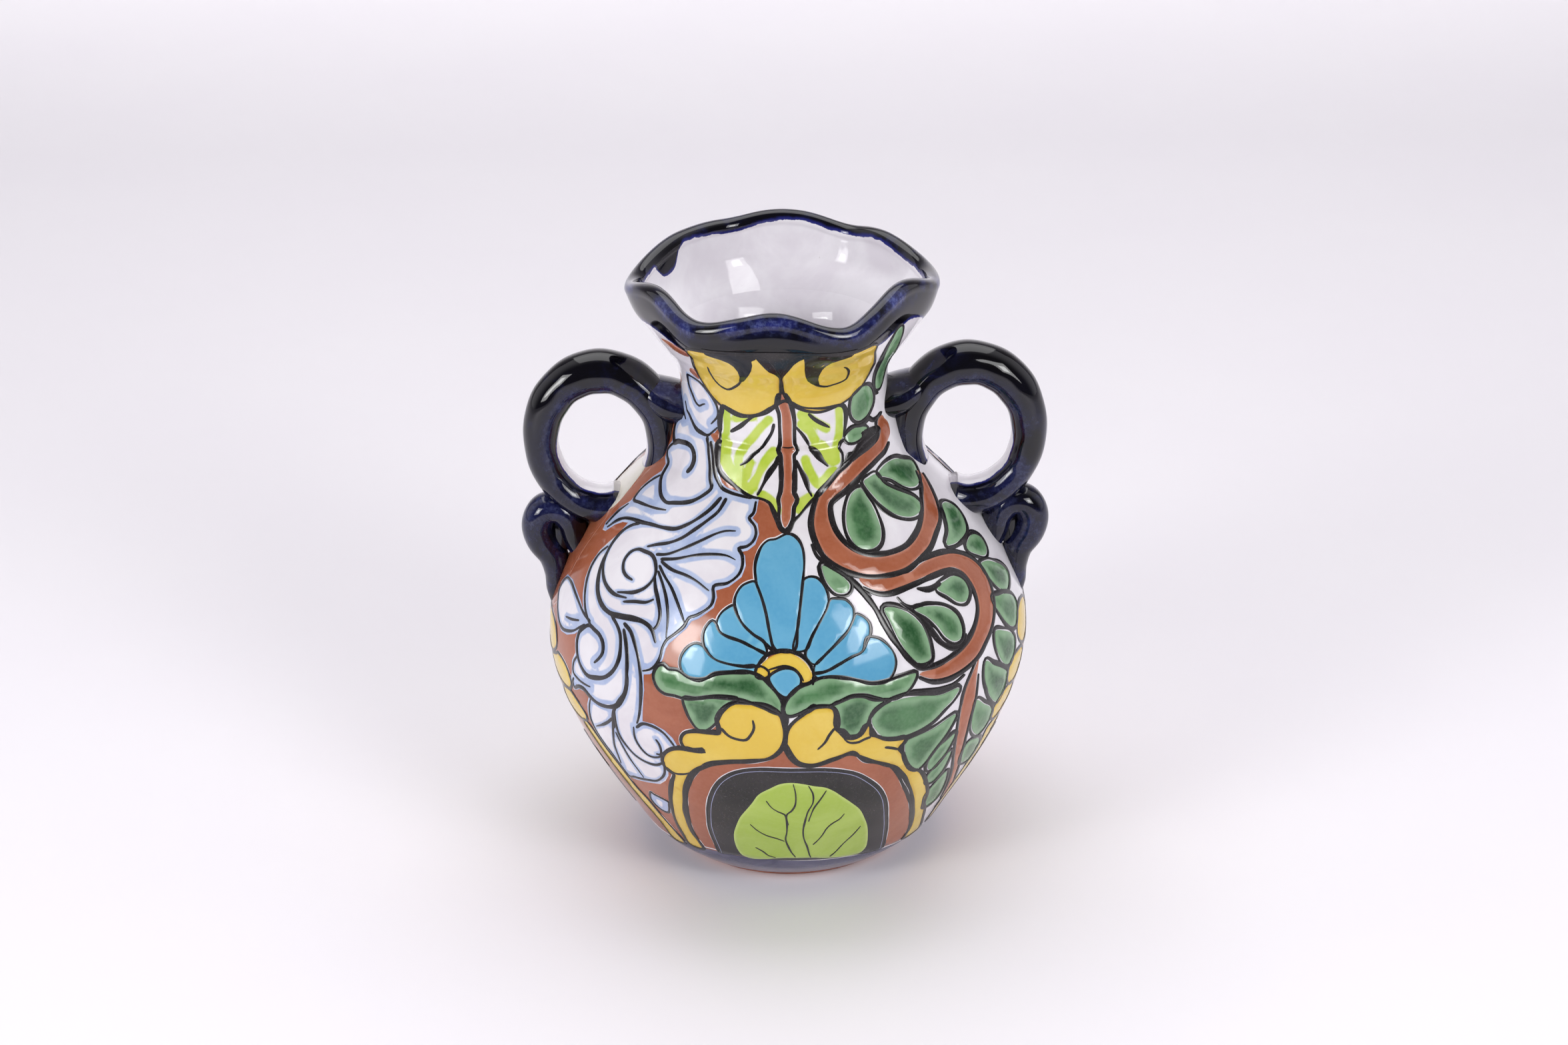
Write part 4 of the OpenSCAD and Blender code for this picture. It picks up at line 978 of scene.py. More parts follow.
def draw_foot_band():
    """Thin cobalt band above the foot, with a wandering upper edge and a pale line on it."""
    angles, heights = np.transpose([
        (-60, 10.6), (-50, 11.5), (-35, 14.5), (-25, 15), (-5, 14), (10, 13), (20, 12.5), (30, 11.5),
        (45, 10), (60, 10.2), (90, 11), (120, 10.6)])
    a = np.arange(0, 181.5, 1.5)
    turned = np.where(a > 120, a - 180, a)
    top = np.interp(turned, angles, heights)
    rows, bottom = 12, FOOT_H + 0.15
    share = np.linspace(0, 1, rows)
    grid_a = np.repeat(a, rows)
    grid_z = (bottom + (top - bottom)[:, None] * share).ravel()
    edge = np.minimum(share, 1 - share) * 10
    lift = np.where(np.tile(share, len(a)) > 0.97, STROKE_EDGE, WHITE)
    store("band", grid_a, grid_z, lift, 0 * grid_a, 0 * grid_a, np.tile(edge, len(a)),
          grid_faces(len(a), rows))
    ribbon("hair", np.column_stack([a, top]), 0.6, WHITE + 0.01, 0.03, tips=(1, 1))


draw_ground()
draw_flanks()
draw_acanthus()
draw_flower()
draw_garland()
draw_yellow_scrolls()
draw_arch()
draw_side_panel()
draw_vines()
draw_leaves()
draw_neck()
draw_foot_band()


# ---------------------------------------------------------------- materials
def linear(r, g, b):
    """Linear colour from display values 0-255."""
    shares = [v / 255 for v in (r, g, b)]
    return tuple(((v + 0.055) / 1.055) ** 2.4 if v > 0.04 else v / 12.92 for v in shares) + (1.0,)


class Shader:
    """Small helper around one material's node tree. Noise scales are in turns per metre."""

    def __init__(self, name):
        self.material = bpy.data.materials.new(name)
        self.material.use_nodes = True
        self.tree = self.material.node_tree
        self.surface = self.tree.nodes["Principled BSDF"]
        self.where = self.tree.nodes.new("ShaderNodeTexCoord").outputs["Object"]

    def put(self, socket, value):
        if isinstance(value, bpy.types.NodeSocket):
            self.tree.links.new(value, socket)
        else:
            socket.default_value = value

    def node(self, kind, out=0, inputs=(), **props):
        made = self.tree.nodes.new(kind)
        for key, value in props.items():
            setattr(made, key, value)
        for key, value in inputs:
            self.put(made.inputs[key], value)
        return made.outputs[out]

    def noise(self, scale, detail=3.0, rough=0.55, warp=0.0):
        return self.node("ShaderNodeTexNoise", 0, (
            ("Vector", self.where), ("Scale", scale), ("Detail", detail), ("Roughness", rough),
            ("Distortion", warp)))

    def span(self, value, low, high, to_low=0.0, to_high=1.0, kind="SMOOTHSTEP"):
        return self.node("ShaderNodeMapRange", 0, (
            ("Value", value), ("From Min", low), ("From Max", high), ("To Min", to_low),
            ("To Max", to_high)), interpolation_type=kind)

    def math(self, operation, a, b=0.0):
        return self.node("ShaderNodeMath", 0, ((0, a), (1, b)), operation=operation)

    def mix(self, share, a, b):
        return self.node("ShaderNodeMix", 2, ((0, share), (6, a), (7, b)), data_type="RGBA")

    def value(self, name):
        return self.node("ShaderNodeAttribute", "Fac", attribute_name=name)

    def bump(self, height, strength, distance):
        normal = self.node("ShaderNodeBump", 0, (("Height", height), ("Strength", strength),
                                                 ("Distance", distance)))
        self.put(self.surface.inputs["Normal"], normal)

    def white_glaze(self):
        """Tin glaze: warm grey-white with clouding, fine specks and a few pinholes."""
        clouds = self.noise(55, 4, 0.6, 0.4)
        base = self.mix(self.span(clouds, 0.35, 0.68), linear(238, 235, 240), linear(226, 221, 228))
        specks = self.span(self.noise(1500, 2), 0.7, 0.76)
        sparse = self.span(self.noise(210, 2), 0.56, 0.66)
        return self.mix(self.math("MULTIPLY", self.math("MULTIPLY", specks, sparse), 0.35), base,
                        linear(150, 138, 140))

    def gloss(self, low=0.05, high=0.13):
        smear = self.noise(38, 3, 0.6, 0.6)
        self.put(self.surface.inputs["Roughness"], self.span(smear, 0.3, 0.7, low, high, "LINEAR"))
        self.surface.inputs["IOR"].default_value = 1.52

    def glaze_relief(self, strength=0.12):
        """Slow waviness of a dipped glaze and its small pits."""
        waves = self.noise(62, 2, 0.4)
        pits = self.span(self.noise(700, 1), 0.16, 0.26)
        height = self.math("ADD", self.math("MULTIPLY", waves, 0.7), self.math("MULTIPLY", pits, 0.04))
        self.bump(height, strength, 0.0006)


def enamel(name, core, thin, rim, reach):
    """Painted enamel: core colour with brush clouding, and a rim colour near its edge."""
    s = Shader(name)
    depth = s.value("depth")
    cloud = s.span(s.noise(34, 4, 0.62, 1.2), 0.34, 0.66)
    inner = s.mix(cloud, linear(*core), linear(*thin))
    ragged = s.math("ADD", depth, s.span(s.noise(160, 3), 0, 1, -0.9 * reach, 0.9 * reach, "LINEAR"))
    colour = s.mix(s.span(ragged, 0.0, reach * 1.7), linear(*rim), inner)
    grain = s.span(s.noise(900, 2), 0.3, 0.75, 0.0, 0.16)
    s.put(s.surface.inputs["Base Color"], s.mix(grain, colour, linear(*rim)))
    s.gloss()
    s.glaze_relief()
    return s.material


def white_material():
    """Bare tin glaze."""
    s = Shader("white_tin_glaze")
    s.put(s.surface.inputs["Base Color"], s.white_glaze())
    s.gloss()
    s.glaze_relief(0.16)
    return s.material


def thin_glaze_material():
    """Cream patch where the white ran thin, with rusty specks of clay showing."""
    s = Shader("thin_cream_glaze")
    specks = s.span(s.noise(420, 4, 0.7), 0.6, 0.72)
    zone = s.span(s.noise(90, 2), 0.45, 0.6)
    tone = s.mix(s.span(s.noise(60, 2), 0.35, 0.65), linear(233, 229, 223), linear(226, 221, 206))
    s.put(s.surface.inputs["Base Color"],
          s.mix(s.math("MULTIPLY", s.math("MULTIPLY", specks, zone), 0.8), tone, linear(168, 134, 92)))
    s.gloss(0.1, 0.22)
    s.glaze_relief(0.2)
    return s.material


def wash_material():
    """Pale blue wash laid beside the black strokes, fading into the white glaze."""
    s = Shader("pale_blue_wash")
    depth = s.value("depth")
    reach = s.span(s.noise(42, 1, 0.5, 0.3), 0.36, 0.64, 1.0, 2.5, "LINEAR")
    share = s.span(s.math("SUBTRACT", reach, depth), -0.3, 0.3)
    tone = s.mix(s.span(s.noise(130, 4, 0.65), 0.35, 0.7), linear(184, 198, 228), linear(158, 176, 216))
    s.put(s.surface.inputs["Base Color"],
          s.mix(s.math("MULTIPLY", share, 0.95), s.white_glaze(), tone))
    s.gloss()
    s.glaze_relief()
    return s.material


def shield_material():
    """Lime brushed softly along the leaf's lobes over white."""
    s = Shader("lime_brushed_leaf")
    depth = s.value("depth")
    reach = s.span(s.noise(110, 2, 0.5), 0.3, 0.7, 1.2, 2.0, "LINEAR")
    share = s.span(s.math("SUBTRACT", reach, depth), -0.25, 0.45)
    tone = s.mix(s.span(s.noise(150, 3), 0.35, 0.7), linear(196, 214, 96), linear(176, 202, 62))
    s.put(s.surface.inputs["Base Color"], s.mix(share, s.white_glaze(), tone))
    s.gloss()
    s.glaze_relief()
    return s.material


def line_material():
    """Manganese black outline, slightly dry, with paler specks where the glaze broke."""
    s = Shader("manganese_black_line")
    base = s.mix(s.span(s.noise(90, 3), 0.35, 0.7), linear(26, 24, 25), linear(44, 40, 42))
    specks = s.span(s.noise(1400, 3, 0.7), 0.58, 0.72, 0, 0.35)
    s.put(s.surface.inputs["Base Color"], s.mix(specks, base, linear(110, 106, 112)))
    s.put(s.surface.inputs["Roughness"], s.span(s.noise(120, 3), 0.3, 0.7, 0.1, 0.26, "LINEAR"))
    s.glaze_relief(0.2)
    return s.material


def band_material():
    """Thin, greyed cobalt of the band above the foot."""
    s = Shader("thin_cobalt_band")
    cloud = s.span(s.noise(70, 4, 0.65, 1.0), 0.3, 0.7)
    s.put(s.surface.inputs["Base Color"], s.mix(cloud, linear(66, 64, 92), linear(98, 95, 124)))
    s.gloss(0.08, 0.2)
    s.glaze_relief()
    return s.material


def cobalt_material():
    """Deep cobalt over white. Of its values, cover is millimetres inside the cobalt's edge, and
    thin is the share of paler, mottled blue: glaze that ran thin, and on the handles' upper faces also
    painted light from above."""
    s = Shader("deep_cobalt_glaze")
    cover = s.math("ADD", s.value("cover"), s.span(s.noise(190, 4, 0.6), 0, 1, -1.1, 1.1, "LINEAR"))
    breaks = s.span(s.noise(105, 5, 0.65, 0.8), 0.5, 0.74)
    patch = s.span(s.noise(28, 3, 0.5), 0.42, 0.62)
    deep = s.mix(s.span(s.noise(48, 3), 0.35, 0.7), linear(5, 4, 7), linear(9, 8, 19))
    blue = s.mix(s.span(s.noise(330, 3), 0.3, 0.7), linear(28, 32, 84), linear(52, 60, 124))
    body = s.mix(s.math("MULTIPLY", s.math("MULTIPLY", breaks, patch), 0.6), deep, blue)
    near_edge = s.span(cover, 0.1, 1.5, 0.95, 0.0)
    body = s.mix(near_edge, body, linear(42, 46, 122))
    # paler blue from thin glaze, and on the handles' upper faces painted light from above
    thin = s.value("thin")
    pale = s.mix(s.span(s.noise(650, 3, 0.7), 0.42, 0.7), linear(38, 44, 112), linear(92, 102, 162))
    body = s.mix(s.math("MULTIPLY", thin, s.span(s.noise(80, 4, 0.6), 0.36, 0.64)), body, pale)
    s.put(s.surface.inputs["Base Color"], s.mix(s.span(cover, -0.12, 0.12), s.white_glaze(), body))
    s.gloss(0.03, 0.09)
    s.glaze_relief(0.1)
    return s.material


def clay_material():
    """Unglazed fired clay, matte and gritty."""
    s = Shader("bare_terracotta")
    tone = s.mix(s.span(s.noise(80, 5, 0.65), 0.3, 0.7), linear(186, 118, 92), linear(158, 92, 70))
    grit = s.span(s.noise(1900, 2), 0.62, 0.74, 0, 0.6)
    s.put(s.surface.inputs["Base Color"], s.mix(grit, tone, linear(214, 176, 150)))
    s.put(s.surface.inputs["Roughness"], s.span(s.noise(300, 3), 0.3, 0.7, 0.62, 0.85, "LINEAR"))
    s.bump(s.noise(1300, 4, 0.7), 0.35, 0.0003)
    return s.material


WHITE_MAT = white_material()
COBALT_MAT = cobalt_material()
# Each paint has the name of its piece, its material slot and its material.
PAINTS = {
    "terracotta": ("paint_terracotta", "terracotta_enamel",
                   enamel("terracotta_enamel", (156, 86, 58), (170, 100, 72), (186, 122, 98), 0.5)),
    "yellow": ("paint_yellow", "yellow_enamel",
               enamel("yellow_enamel", (224, 190, 74), (230, 200, 94), (216, 176, 66), 0.5)),
    "green": ("paint_green_leaves", "green_enamel",
              enamel("green_enamel", (44, 84, 50), (78, 124, 80), (134, 170, 132), 1.9)),
    "lime": ("paint_lime_disc", "lime_enamel",
             enamel("lime_enamel", (168, 194, 76), (180, 204, 94), (190, 210, 116), 0.7)),
    "sky": ("paint_blue_flower", "sky_blue_enamel",
            enamel("sky_blue_enamel", (92, 162, 200), (108, 174, 208), (120, 184, 212), 0.8)),
    "wash": ("paint_blue_wash_acanthus", "blue_wash", wash_material()),
    "shield": ("paint_shield_leaf", "lime_enamel", shield_material()),
    "line": ("paint_black_lines", "black_line", line_material()),
    "band": ("paint_foot_band", "cobalt_glaze", band_material()),
    "hair": ("paint_white_hairlines", "white_glaze", WHITE_MAT),
    "cream": ("thin_cream_glaze", "white_glaze", thin_glaze_material()),
    "pale_blue": ("paint_pale_blue_lines", "blue_wash",
                  enamel("pale_blue_line", (112, 116, 160), (150, 154, 190), (160, 164, 198), 0.2)),
}


def build_layers():
    """One piece for each paint. The back carries the front's painting turned half round."""
    for paint, (piece_name, slot_name, material) in PAINTS.items():
        points, normals, depths, faces, count = [], [], [], [], 0
        for (key, turns), layer in layers.items():
            if key != paint:
                continue
            rows = np.vstack(layer["rows"])
            for turn in turns:
                point, normal, across, up = surface(rows[:, 0] + turn, rows[:, 1], rows[:, 2])
                tilted = normal + across * rows[:, 3:4] + up * rows[:, 4:5]
                tilted /= np.linalg.norm(tilted, axis=1, keepdims=True)
                faces += [tuple(i + count for i in f) for f in layer["faces"]]
                count += len(rows)
                points.append(point)
                normals.append(tilted)
                depths.append(rows[:, 5])
        piece = make_mesh(piece_name, np.vstack(points), faces, np.vstack(normals),
                          {"depth": np.concatenate(depths)}, material)
        finish_piece(piece, slot_name)


# ---------------------------------------------------------------- pot bodies
WALL_COLUMNS = 360


def wall_rows(z0, z1, step):
    """Heights spaced evenly along the pot's outline."""
    count = max(2, int(round((arc(z1) - arc(z0)) / step)))
    return np.interp(np.linspace(arc(z0), arc(z1), count + 1), S_OF_Z, Z_GRID)


def thrown_wall(name, z0, z1, wall, slot_name, material):
    """Hollow wall of the pot between two heights, its outside normals taken from the whole pot."""
    outer, inner = wall_rows(z0, z1, 1.5), wall_rows(z0, z1, 3)[::-1]
    # just above its own bottom, so that a joint takes the radius of the wall over it
    r_out = radius(np.clip(outer, z0 + 0.01, z1))
    r_in = radius(np.clip(inner, z0 + 0.01, z1)) - wall
    loop = np.vstack([np.column_stack([r_out, outer]), np.column_stack([r_in, inner])])
    n = len(loop)
    piece = sharp_shell(name, loop, WALL_COLUMNS, [0] * len(outer) + [1] * len(inner), material)
    mesh = piece.data
    flat = np.zeros(len(mesh.loops) * 3, np.float32)
    mesh.corner_normals.foreach_get("vector", flat)
    normals = flat.reshape(-1, 3)
    vertex = np.zeros(len(mesh.loops), np.int32)
    mesh.loops.foreach_get("vertex_index", vertex)
    a = (vertex // n) * 360 / WALL_COLUMNS
    row = vertex % n
    exact = surface(a, loop[row, 1], np.zeros(len(a)))[1]
    outside = np.repeat((row.reshape(-1, 4) < len(outer)).all(1), 4)
    normals[outside] = exact[outside]
    mesh.normals_split_custom_set(normals.tolist())
    return finish_piece(piece, slot_name, name)


LIP_COLUMNS = 480
# How far the cobalt reaches down outside the lip, how much further at the front, and how far
# it stops short of the bead's end inside.
COBALT_FALL, COBALT_FRONT, COBALT_SHORT = 12.2, 1.8, 1.6
EDGE_WAVES = [(3, 0.7, 1), (7, 0.5, 0), (13, 0.3, 0)]  # waves round the lip, size, start
DRIPS = [(240, 7, 6.5), (200, 20, 1.9)]  # cobalt that ran down inside: angle, half width, length
THIN_BELOW = 4  # the paler blue band runs this far outside the top of the bead


def build_lip():
    """Wavy rolled lip: cobalt over the bead and down both sides to a ragged edge."""
    sections, cover, thin = [], [], []
    for i in range(LIP_COLUMNS):
        angle = 360 * i / LIP_COLUMNS
        a = angle * DEG
        section, n_outer, n_bead = lip_section(angle, 9, 24)
        s = np.concatenate([[0], np.cumsum(np.linalg.norm(np.diff(section, axis=0), axis=1))])
        wave = sum(size * math.sin(waves * a + start) for waves, size, start in EDGE_WAVES)
        drip = sum(length * hump(angle, centre, half) for centre, half, length in DRIPS)
        low_z = LIP_Z + lip_rise(angle) - COBALT_FALL - COBALT_FRONT * hump(angle, 0, 34) + 0.6 * wave
        low = np.interp(low_z, section[:n_outer, 1], s[:n_outer])
        high = s[n_bead - 1] - COBALT_SHORT + 0.5 * wave + drip
        cover.append(np.minimum(s - low, high - s))
        top = s[(n_outer + n_bead) // 2]
        crest = min(max((lip_rise(angle) + 2) / 6, 0), 1)
        band = np.exp(-((s - top + THIN_BELOW) / (1.9 + 0.8 * crest)) ** 2)
        thin.append(band * (0.6 + 0.4 * crest))
        sections.append(np.column_stack([math.sin(a) * section[:, 0], -math.cos(a) * section[:, 0],
                                         section[:, 1]]))
    n = len(sections[0])
    piece = make_mesh("lip_coil_glazed", np.vstack(sections), grid_faces(LIP_COLUMNS, n, True, True),
                      values={"cover": np.concatenate(cover), "thin": np.concatenate(thin)},
                      material=COBALT_MAT)
    mark_sharp(piece, n, [0, n - 1])
    return finish_piece(piece, "cobalt_glaze", "lip_coil")


# ---------------------------------------------------------------- handles
# Loop: centre, half width and half height of its centreline, half depth of its coil, and the
# angles where it starts under the neck and ends on the shoulder.
LOOP_X, LOOP_Z, LOOP_W, LOOP_H, COIL_DEPTH = 56.2, 136.5, 18.9, 22.2, 6.9
LOOP_START, LOOP_END = -28, 284
LEFT_DROP = 1  # how much lower the left handle sits
SCROLL_X, SCROLL_Z = 72.6, 106
# Rows of the scroll and the wad are [x, z, half thickness, half depth], the scroll's from its centre.
SCROLL_KEYS = [(0.4, -26, 1.2, 1.4), (-0.1, -21.5, 2.9, 3.4), (-0.8, -15.5, 4, 4.8), (0.2, -9.5, 4.7, 5.6),
               (3.4, -4, 5.1, 6), (4.4, 1.4, 5.1, 6.2), (2, 6, 5, 6.2), (-2.6, 6.2, 4.8, 6.2),
               (-5.8, 2.4, 4.6, 6.2), (-7.4, -2.4, 4.8, 6), (-9, -7, 4.1, 5.2), (-10.4, -10.4, 2.4, 3.6)]
WAD_KEYS = [(30, 147.5, 6, 10.4), (34, 148.5, 6.2, 10.4), (37.5, 150.2, 5.8, 9.6), (41, 152.6, 4.4, 8),
            (44, 155, 2, 5)]
LUMP_OFFSET, LUMP_RADII = (-2.4, 0, -2.6), (3.4, 3.0, 7.0)
DOME = [(0.85, 0.5), (0.55, 0.83), (0.2, 0.98)]  # rings that round a coil's end: size and reach
DOME_REACH = 0.55
UNDER_SKIN = 1.2  # what runs into the pot stays this far under its surface
FULL_COVER = 6


def lump(centre):
    """Small ellipsoid of clay in the crease between two turns of a coil."""
    rings, sides = 8, 16
    turns = 2 * math.pi * np.arange(sides) / sides
    points = [(0, 0, -1)]
    for i in range(1, rings):
        e = math.pi * (i / rings - 0.5)
        points += [(math.cos(e) * math.cos(t), math.cos(e) * math.sin(t), math.sin(e)) for t in turns]
    points.append((0, 0, 1))
    top = len(points) - 1
    faces = [(0, 1 + (k + 1) % sides, 1 + k) for k in range(sides)]
    faces += [(a + 1, d + 1, c + 1, b + 1) for a, b, c, d in grid_faces(rings - 1, sides, False, True)]
    faces += [(top, top - sides + k, top - sides + (k + 1) % sides) for k in range(sides)]
    return np.array(points) * LUMP_RADII + centre, faces


def coil(name, path, sign, sides, cover_of, node, web=None):
    """Rolled coil along a path in the XZ plane; what lies in the pot is drawn back under its skin."""
    ahead = np.vstack([path[1:], path[-1:]]) - np.vstack([path[:1], path[:-1]])
    across = np.column_stack([ahead[:, 1], -ahead[:, 0]])
    across /= np.linalg.norm(across, axis=1, keepdims=True)
    t = np.arange(sides) * 2 * math.pi / sides
    x = path[:, 0:1] + across[:, 0:1] * path[:, 2:3] * np.cos(t)
    z = path[:, 1:2] + across[:, 1:2] * path[:, 2:3] * np.cos(t)
    y = path[:, 3:4] * np.sin(t)
    facing = np.stack([across[:, 0:1] * np.cos(t), np.sin(t) + 0 * x, across[:, 1:2] * np.cos(t)], -1)
    cover, thin = cover_of(x, z, facing)
    points = [np.stack([x, y, z], -1).reshape(-1, 3)]
    values = {"cover": [cover.ravel()], "thin": [thin.ravel()]}
    faces = grid_faces(len(path), sides, wrap_columns=True)
    start = len(path) * sides
    # round the two open ends with a low dome of rings
    for row, neighbour in ((0, 1), (len(path) - 1, len(path) - 2)):
        outward = path[row, :2] - path[neighbour, :2]
        outward = np.array((outward[0], 0, outward[1])) / np.linalg.norm(outward)
        rim = points[0][row * sides:(row + 1) * sides]
        mid = np.array((path[row, 0], 0, path[row, 1]))
        before = row * sides
        order = -1 if row == 0 else 1
        for size, reach in DOME:
            points.append(mid + (rim - mid) * size + outward * path[row, 2] * reach * DOME_REACH)
            values["cover"].append(cover[row])
            values["thin"].append(thin[row])
            for j in range(sides):
                k = (j + 1) % sides
                faces.append((before + j, before + k, start + k, start + j)[::order])
            before = start
            start += sides
        faces.append(tuple(range(before, before + sides))[::order])
    if web is not None:
        web_points, web_faces = lump(web)
        faces += [tuple(i + start for i in f) for f in web_faces]
        points.append(web_points)
        values["cover"].append(np.full(len(web_points), FULL_COVER))
        values["thin"].append(np.zeros(len(web_points)))
    pts = np.vstack(points)
    pts[:, 0] *= sign
    angle = np.degrees(np.arctan2(pts[:, 0], -pts[:, 1]))
    limit = look_up(R_TABLE, angle, np.clip(pts[:, 2], 0, COLLAR_Z)) - UNDER_SKIN
    pts[:, :2] *= np.maximum(limit / np.maximum(np.hypot(pts[:, 0], pts[:, 1]), 1e-6), 1)[:, None]
    piece = make_mesh(name, pts, [f[::sign] for f in faces],
                      values={key: np.concatenate(parts) for key, parts in values.items()},
                      material=COBALT_MAT)
    return finish_piece(piece, "cobalt_glaze", node)


def loop_cover(sign, drop):
    """Cobalt of a loop: it stops short of the inner side, at the back and low down, and thins
    to blue along the inner side. It is also paler blue over its outer lower part, more on the right handle."""
    def cover_of(x, z, facing):
        inward = np.stack([LOOP_X - x, 0 * x, LOOP_Z - drop - z], -1)
        inward /= np.maximum(np.linalg.norm(inward, axis=2, keepdims=True), 1e-6)
        facing = facing / np.linalg.norm(facing, axis=2, keepdims=True)
        toward = (inward * facing).sum(2)
        back = facing[:, :, 1]
        lower = np.clip((LOOP_Z + 12 - z) / 16, 0, 1)
        bare = np.clip(toward, 0, 1) + 0.55 * np.clip(back, -1, 1) * (toward > 0.1)
        thin = np.exp(-((toward - 0.35) / 0.3) ** 2) * np.clip(-back + 0.5, 0, 1) * 0.24
        # paler blue over the outer lower part, more on the right handle
        thin += (0.2 + 0.12 * sign) * lower * np.clip(0.6 - toward, 0, 1)
        return (0.62 + 0.6 * (1 - lower) - bare) * 9, thin
    return cover_of


def full_cover(x, _, facing):
    """Cobalt all over, paler thin glaze everywhere, and more paler blue on upward faces as painted light from
    above.
    """
    # the base share is thin glaze; the share added on upward faces is painted light from above
    return np.full(x.shape, FULL_COVER), 0.18 + np.clip(facing[:, :, 2], 0, 1) * 0.3


def build_handles():
    """Loop, scroll and neck wad on each side."""
    t = np.linspace(0, 1, 150)
    a = (LOOP_START + (LOOP_END - LOOP_START) * t) * DEG
    for sign, side in ((-1, "left"), (1, "right")):
        drop = 0 if sign > 0 else LEFT_DROP
        uneven = 1 + 0.012 * np.sin(t * 37 + sign) + 0.01 * np.sin(t * 71)
        thick = 5.1 + 1.7 * np.sin(np.minimum(1, t * 1.3) * math.pi) ** 2 + t ** 5
        deep = COIL_DEPTH + 2.2 * (1 - t) ** 3 + 1.4 * t ** 5
        path = np.column_stack([LOOP_X - LOOP_W * np.cos(a), LOOP_Z - drop + LOOP_H * np.sin(a),
                                thick * uneven, deep * uneven])
        coil(f"{side}_handle_loop_glazed", path, sign, 48, loop_cover(sign, drop), f"{side}_handle_loop")
        centre = np.array((SCROLL_X - 0.4 * sign, 0, SCROLL_Z - drop * 0.5))
        scroll = smooth(SCROLL_KEYS, 10)
        scroll[:, :2] += centre[[0, 2]]
        coil(f"{side}_handle_scroll_glazed", scroll, sign, 44, full_cover, f"{side}_handle_scroll",
             centre + LUMP_OFFSET)
        wad = smooth(WAD_KEYS, 8)
        wad[:, 1] -= drop
        coil(f"{side}_neck_wad_glazed", wad, sign, 40, full_cover, f"{side}_neck_wad")


build_layers()
thrown_wall("belly", FOOT_H, BELLY_Z, WALL, "white_glaze", WHITE_MAT)
thrown_wall("shoulder", BELLY_Z, LEDGE_Z, WALL, "white_glaze", WHITE_MAT)
thrown_wall("neck_collar", LEDGE_Z, COLLAR_Z, NECK_WALL, "white_glaze", WHITE_MAT)
build_lip()
build_handles()
for node_name, node_material in (("foot_ring", clay_material()), ("base_disc", WHITE_MAT)):
    node_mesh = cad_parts[node_name].data
    node_mesh.materials.clear()
    node_mesh.materials.append(node_material)


# ---------------------------------------------------------------- stage, light and camera, in metres
STUDIO = linear(240, 238, 244)
MIDDLE = (0, 0, 0.09)


def build_stage():
    """Seamless pale sweep: floor, curved cove and back wall."""
    near, back, cove, top = -2.6, 1.3, 0.9, 3.4
    profile = [(near, 0), (-1.2, 0), (0, 0), (back, 0)]
    for k in range(1, 13):
        turn = k / 12 * 90 * DEG
        profile.append((back + cove * math.sin(turn), cove - cove * math.cos(turn)))
    profile += [(back + cove, 2.0), (back + cove, top)]
    widths = np.linspace(-3.2, 3.2, 9)
    points = [(x, y, z) for y, z in profile for x in widths]
    faces = [quad[::-1] for quad in grid_faces(len(profile), len(widths))]
    s = Shader("paper_sweep")
    s.put(s.surface.inputs["Base Color"], s.mix(s.noise(9, 3), linear(238, 234, 240), linear(241, 238, 242)))
    s.surface.inputs["Roughness"].default_value = 0.7
    s.surface.inputs["Specular IOR Level"].default_value = 0.2
    sweep = make_mesh("paper_sweep", np.array(points) / MM, faces, material=s.material)


def soft_light(name, azimuth, elevation, distance, size, power, aim=MIDDLE):
    """Rectangular soft light; azimuth 0 is in front of the vase and grows toward +X."""
    data = bpy.data.lights.new(name, "AREA")
    data.shape = "RECTANGLE"
    data.size, data.size_y = size
    data.energy = power
    lamp = bpy.data.objects.new(name, data)
    bpy.context.scene.collection.objects.link(lamp)
    a, e = azimuth * DEG, elevation * DEG
    way = Vector((math.sin(a) * math.cos(e), -math.cos(a) * math.cos(e), math.sin(e)))
    lamp.location = Vector(MIDDLE) + distance * way
    lamp.rotation_euler = (lamp.location - Vector(aim)).to_track_quat("Z", "Y").to_euler()


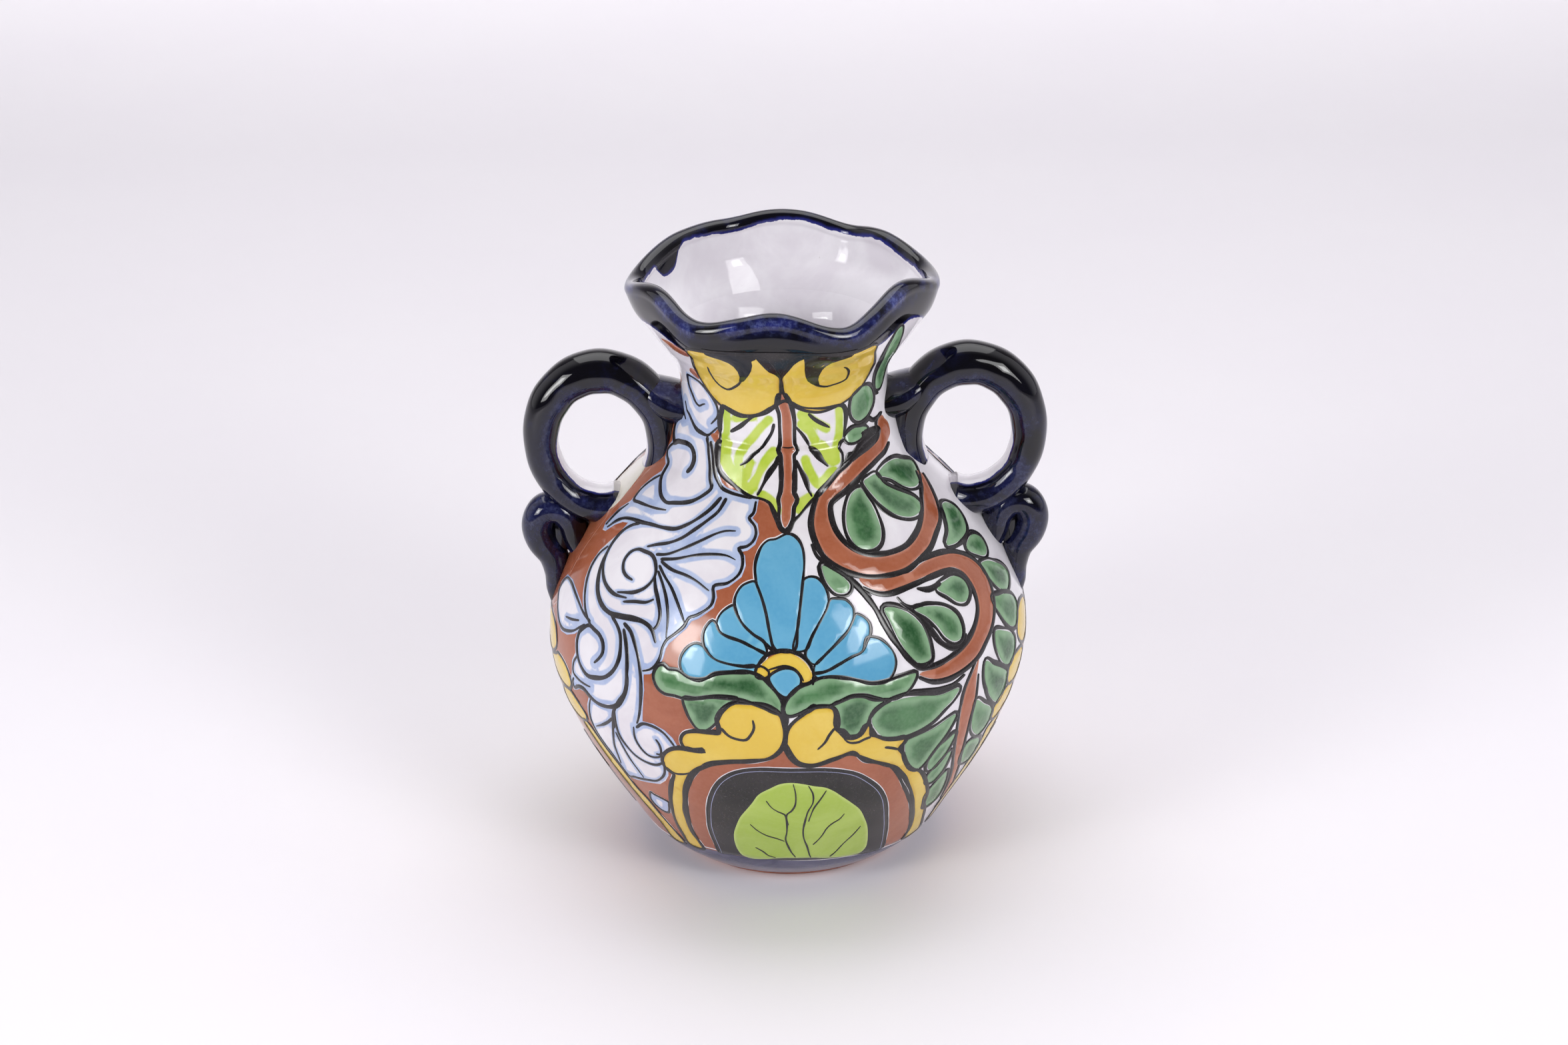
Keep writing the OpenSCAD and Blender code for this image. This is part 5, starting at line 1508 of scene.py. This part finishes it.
def build_world():
    """Pale studio all round, darker in front of the vase."""
    world = bpy.data.worlds.new("studio")
    bpy.context.scene.world = world
    world.use_nodes = True
    tree = world.node_tree
    backdrop = tree.nodes["Background"]
    backdrop.inputs["Strength"].default_value = 0.86
    coord = tree.nodes.new("ShaderNodeTexCoord")
    split = tree.nodes.new("ShaderNodeSeparateXYZ")
    front = tree.nodes.new("ShaderNodeMapRange")
    front.interpolation_type = "SMOOTHSTEP"
    for key, value in (("From Min", -0.35), ("From Max", 0.25), ("To Min", 0.1), ("To Max", 1.0)):
        front.inputs[key].default_value = value
    shade = tree.nodes.new("ShaderNodeMix")
    shade.data_type = "RGBA"
    shade.inputs[6].default_value = (0, 0, 0, 1)
    shade.inputs[7].default_value = STUDIO
    tree.links.new(coord.outputs["Generated"], split.inputs[0])
    tree.links.new(split.outputs["Y"], front.inputs["Value"])
    tree.links.new(front.outputs[0], shade.inputs[0])
    tree.links.new(shade.outputs[2], backdrop.inputs["Color"])


def build_camera():
    """Camera at the viewing angle, looking down on the vase."""
    lens, sensor, pitch, roll = 73.47, 36, 25.6, 0.92
    data = bpy.data.cameras.new("camera")
    data.lens, data.sensor_width = lens, sensor
    camera = bpy.data.objects.new("camera", data)
    bpy.context.scene.collection.objects.link(camera)
    camera.location = (-0.00075, -0.900, 0.5367)
    camera.rotation_euler = (Matrix.Rotation((90 - pitch) * DEG, 4, "X")
                             @ Matrix.Rotation(-roll * DEG, 4, "Z")).to_euler()
    bpy.context.scene.camera = camera
    bpy.context.scene.view_settings.view_transform = "Standard"


build_stage()
soft_light("soft_box_left", -52, 23, 1.25, (0.5, 0.6), 4.9)
soft_light("soft_box_right", 43, 30, 1.25, (0.56, 0.62), 5.1)
soft_light("soft_box_left_core", -52, 22, 1.24, (0.24, 0.3), 2.0)
soft_light("soft_box_right_core", 43, 28, 1.24, (0.28, 0.3), 2.1)
soft_light("top_panel", 180, 70, 1.6, (1.8, 1.4), 14)
soft_light("backdrop_light", 180, 35, 1.5, (2.4, 0.5), 17, aim=(0, 2.0, 0.5))
build_world()
build_camera()
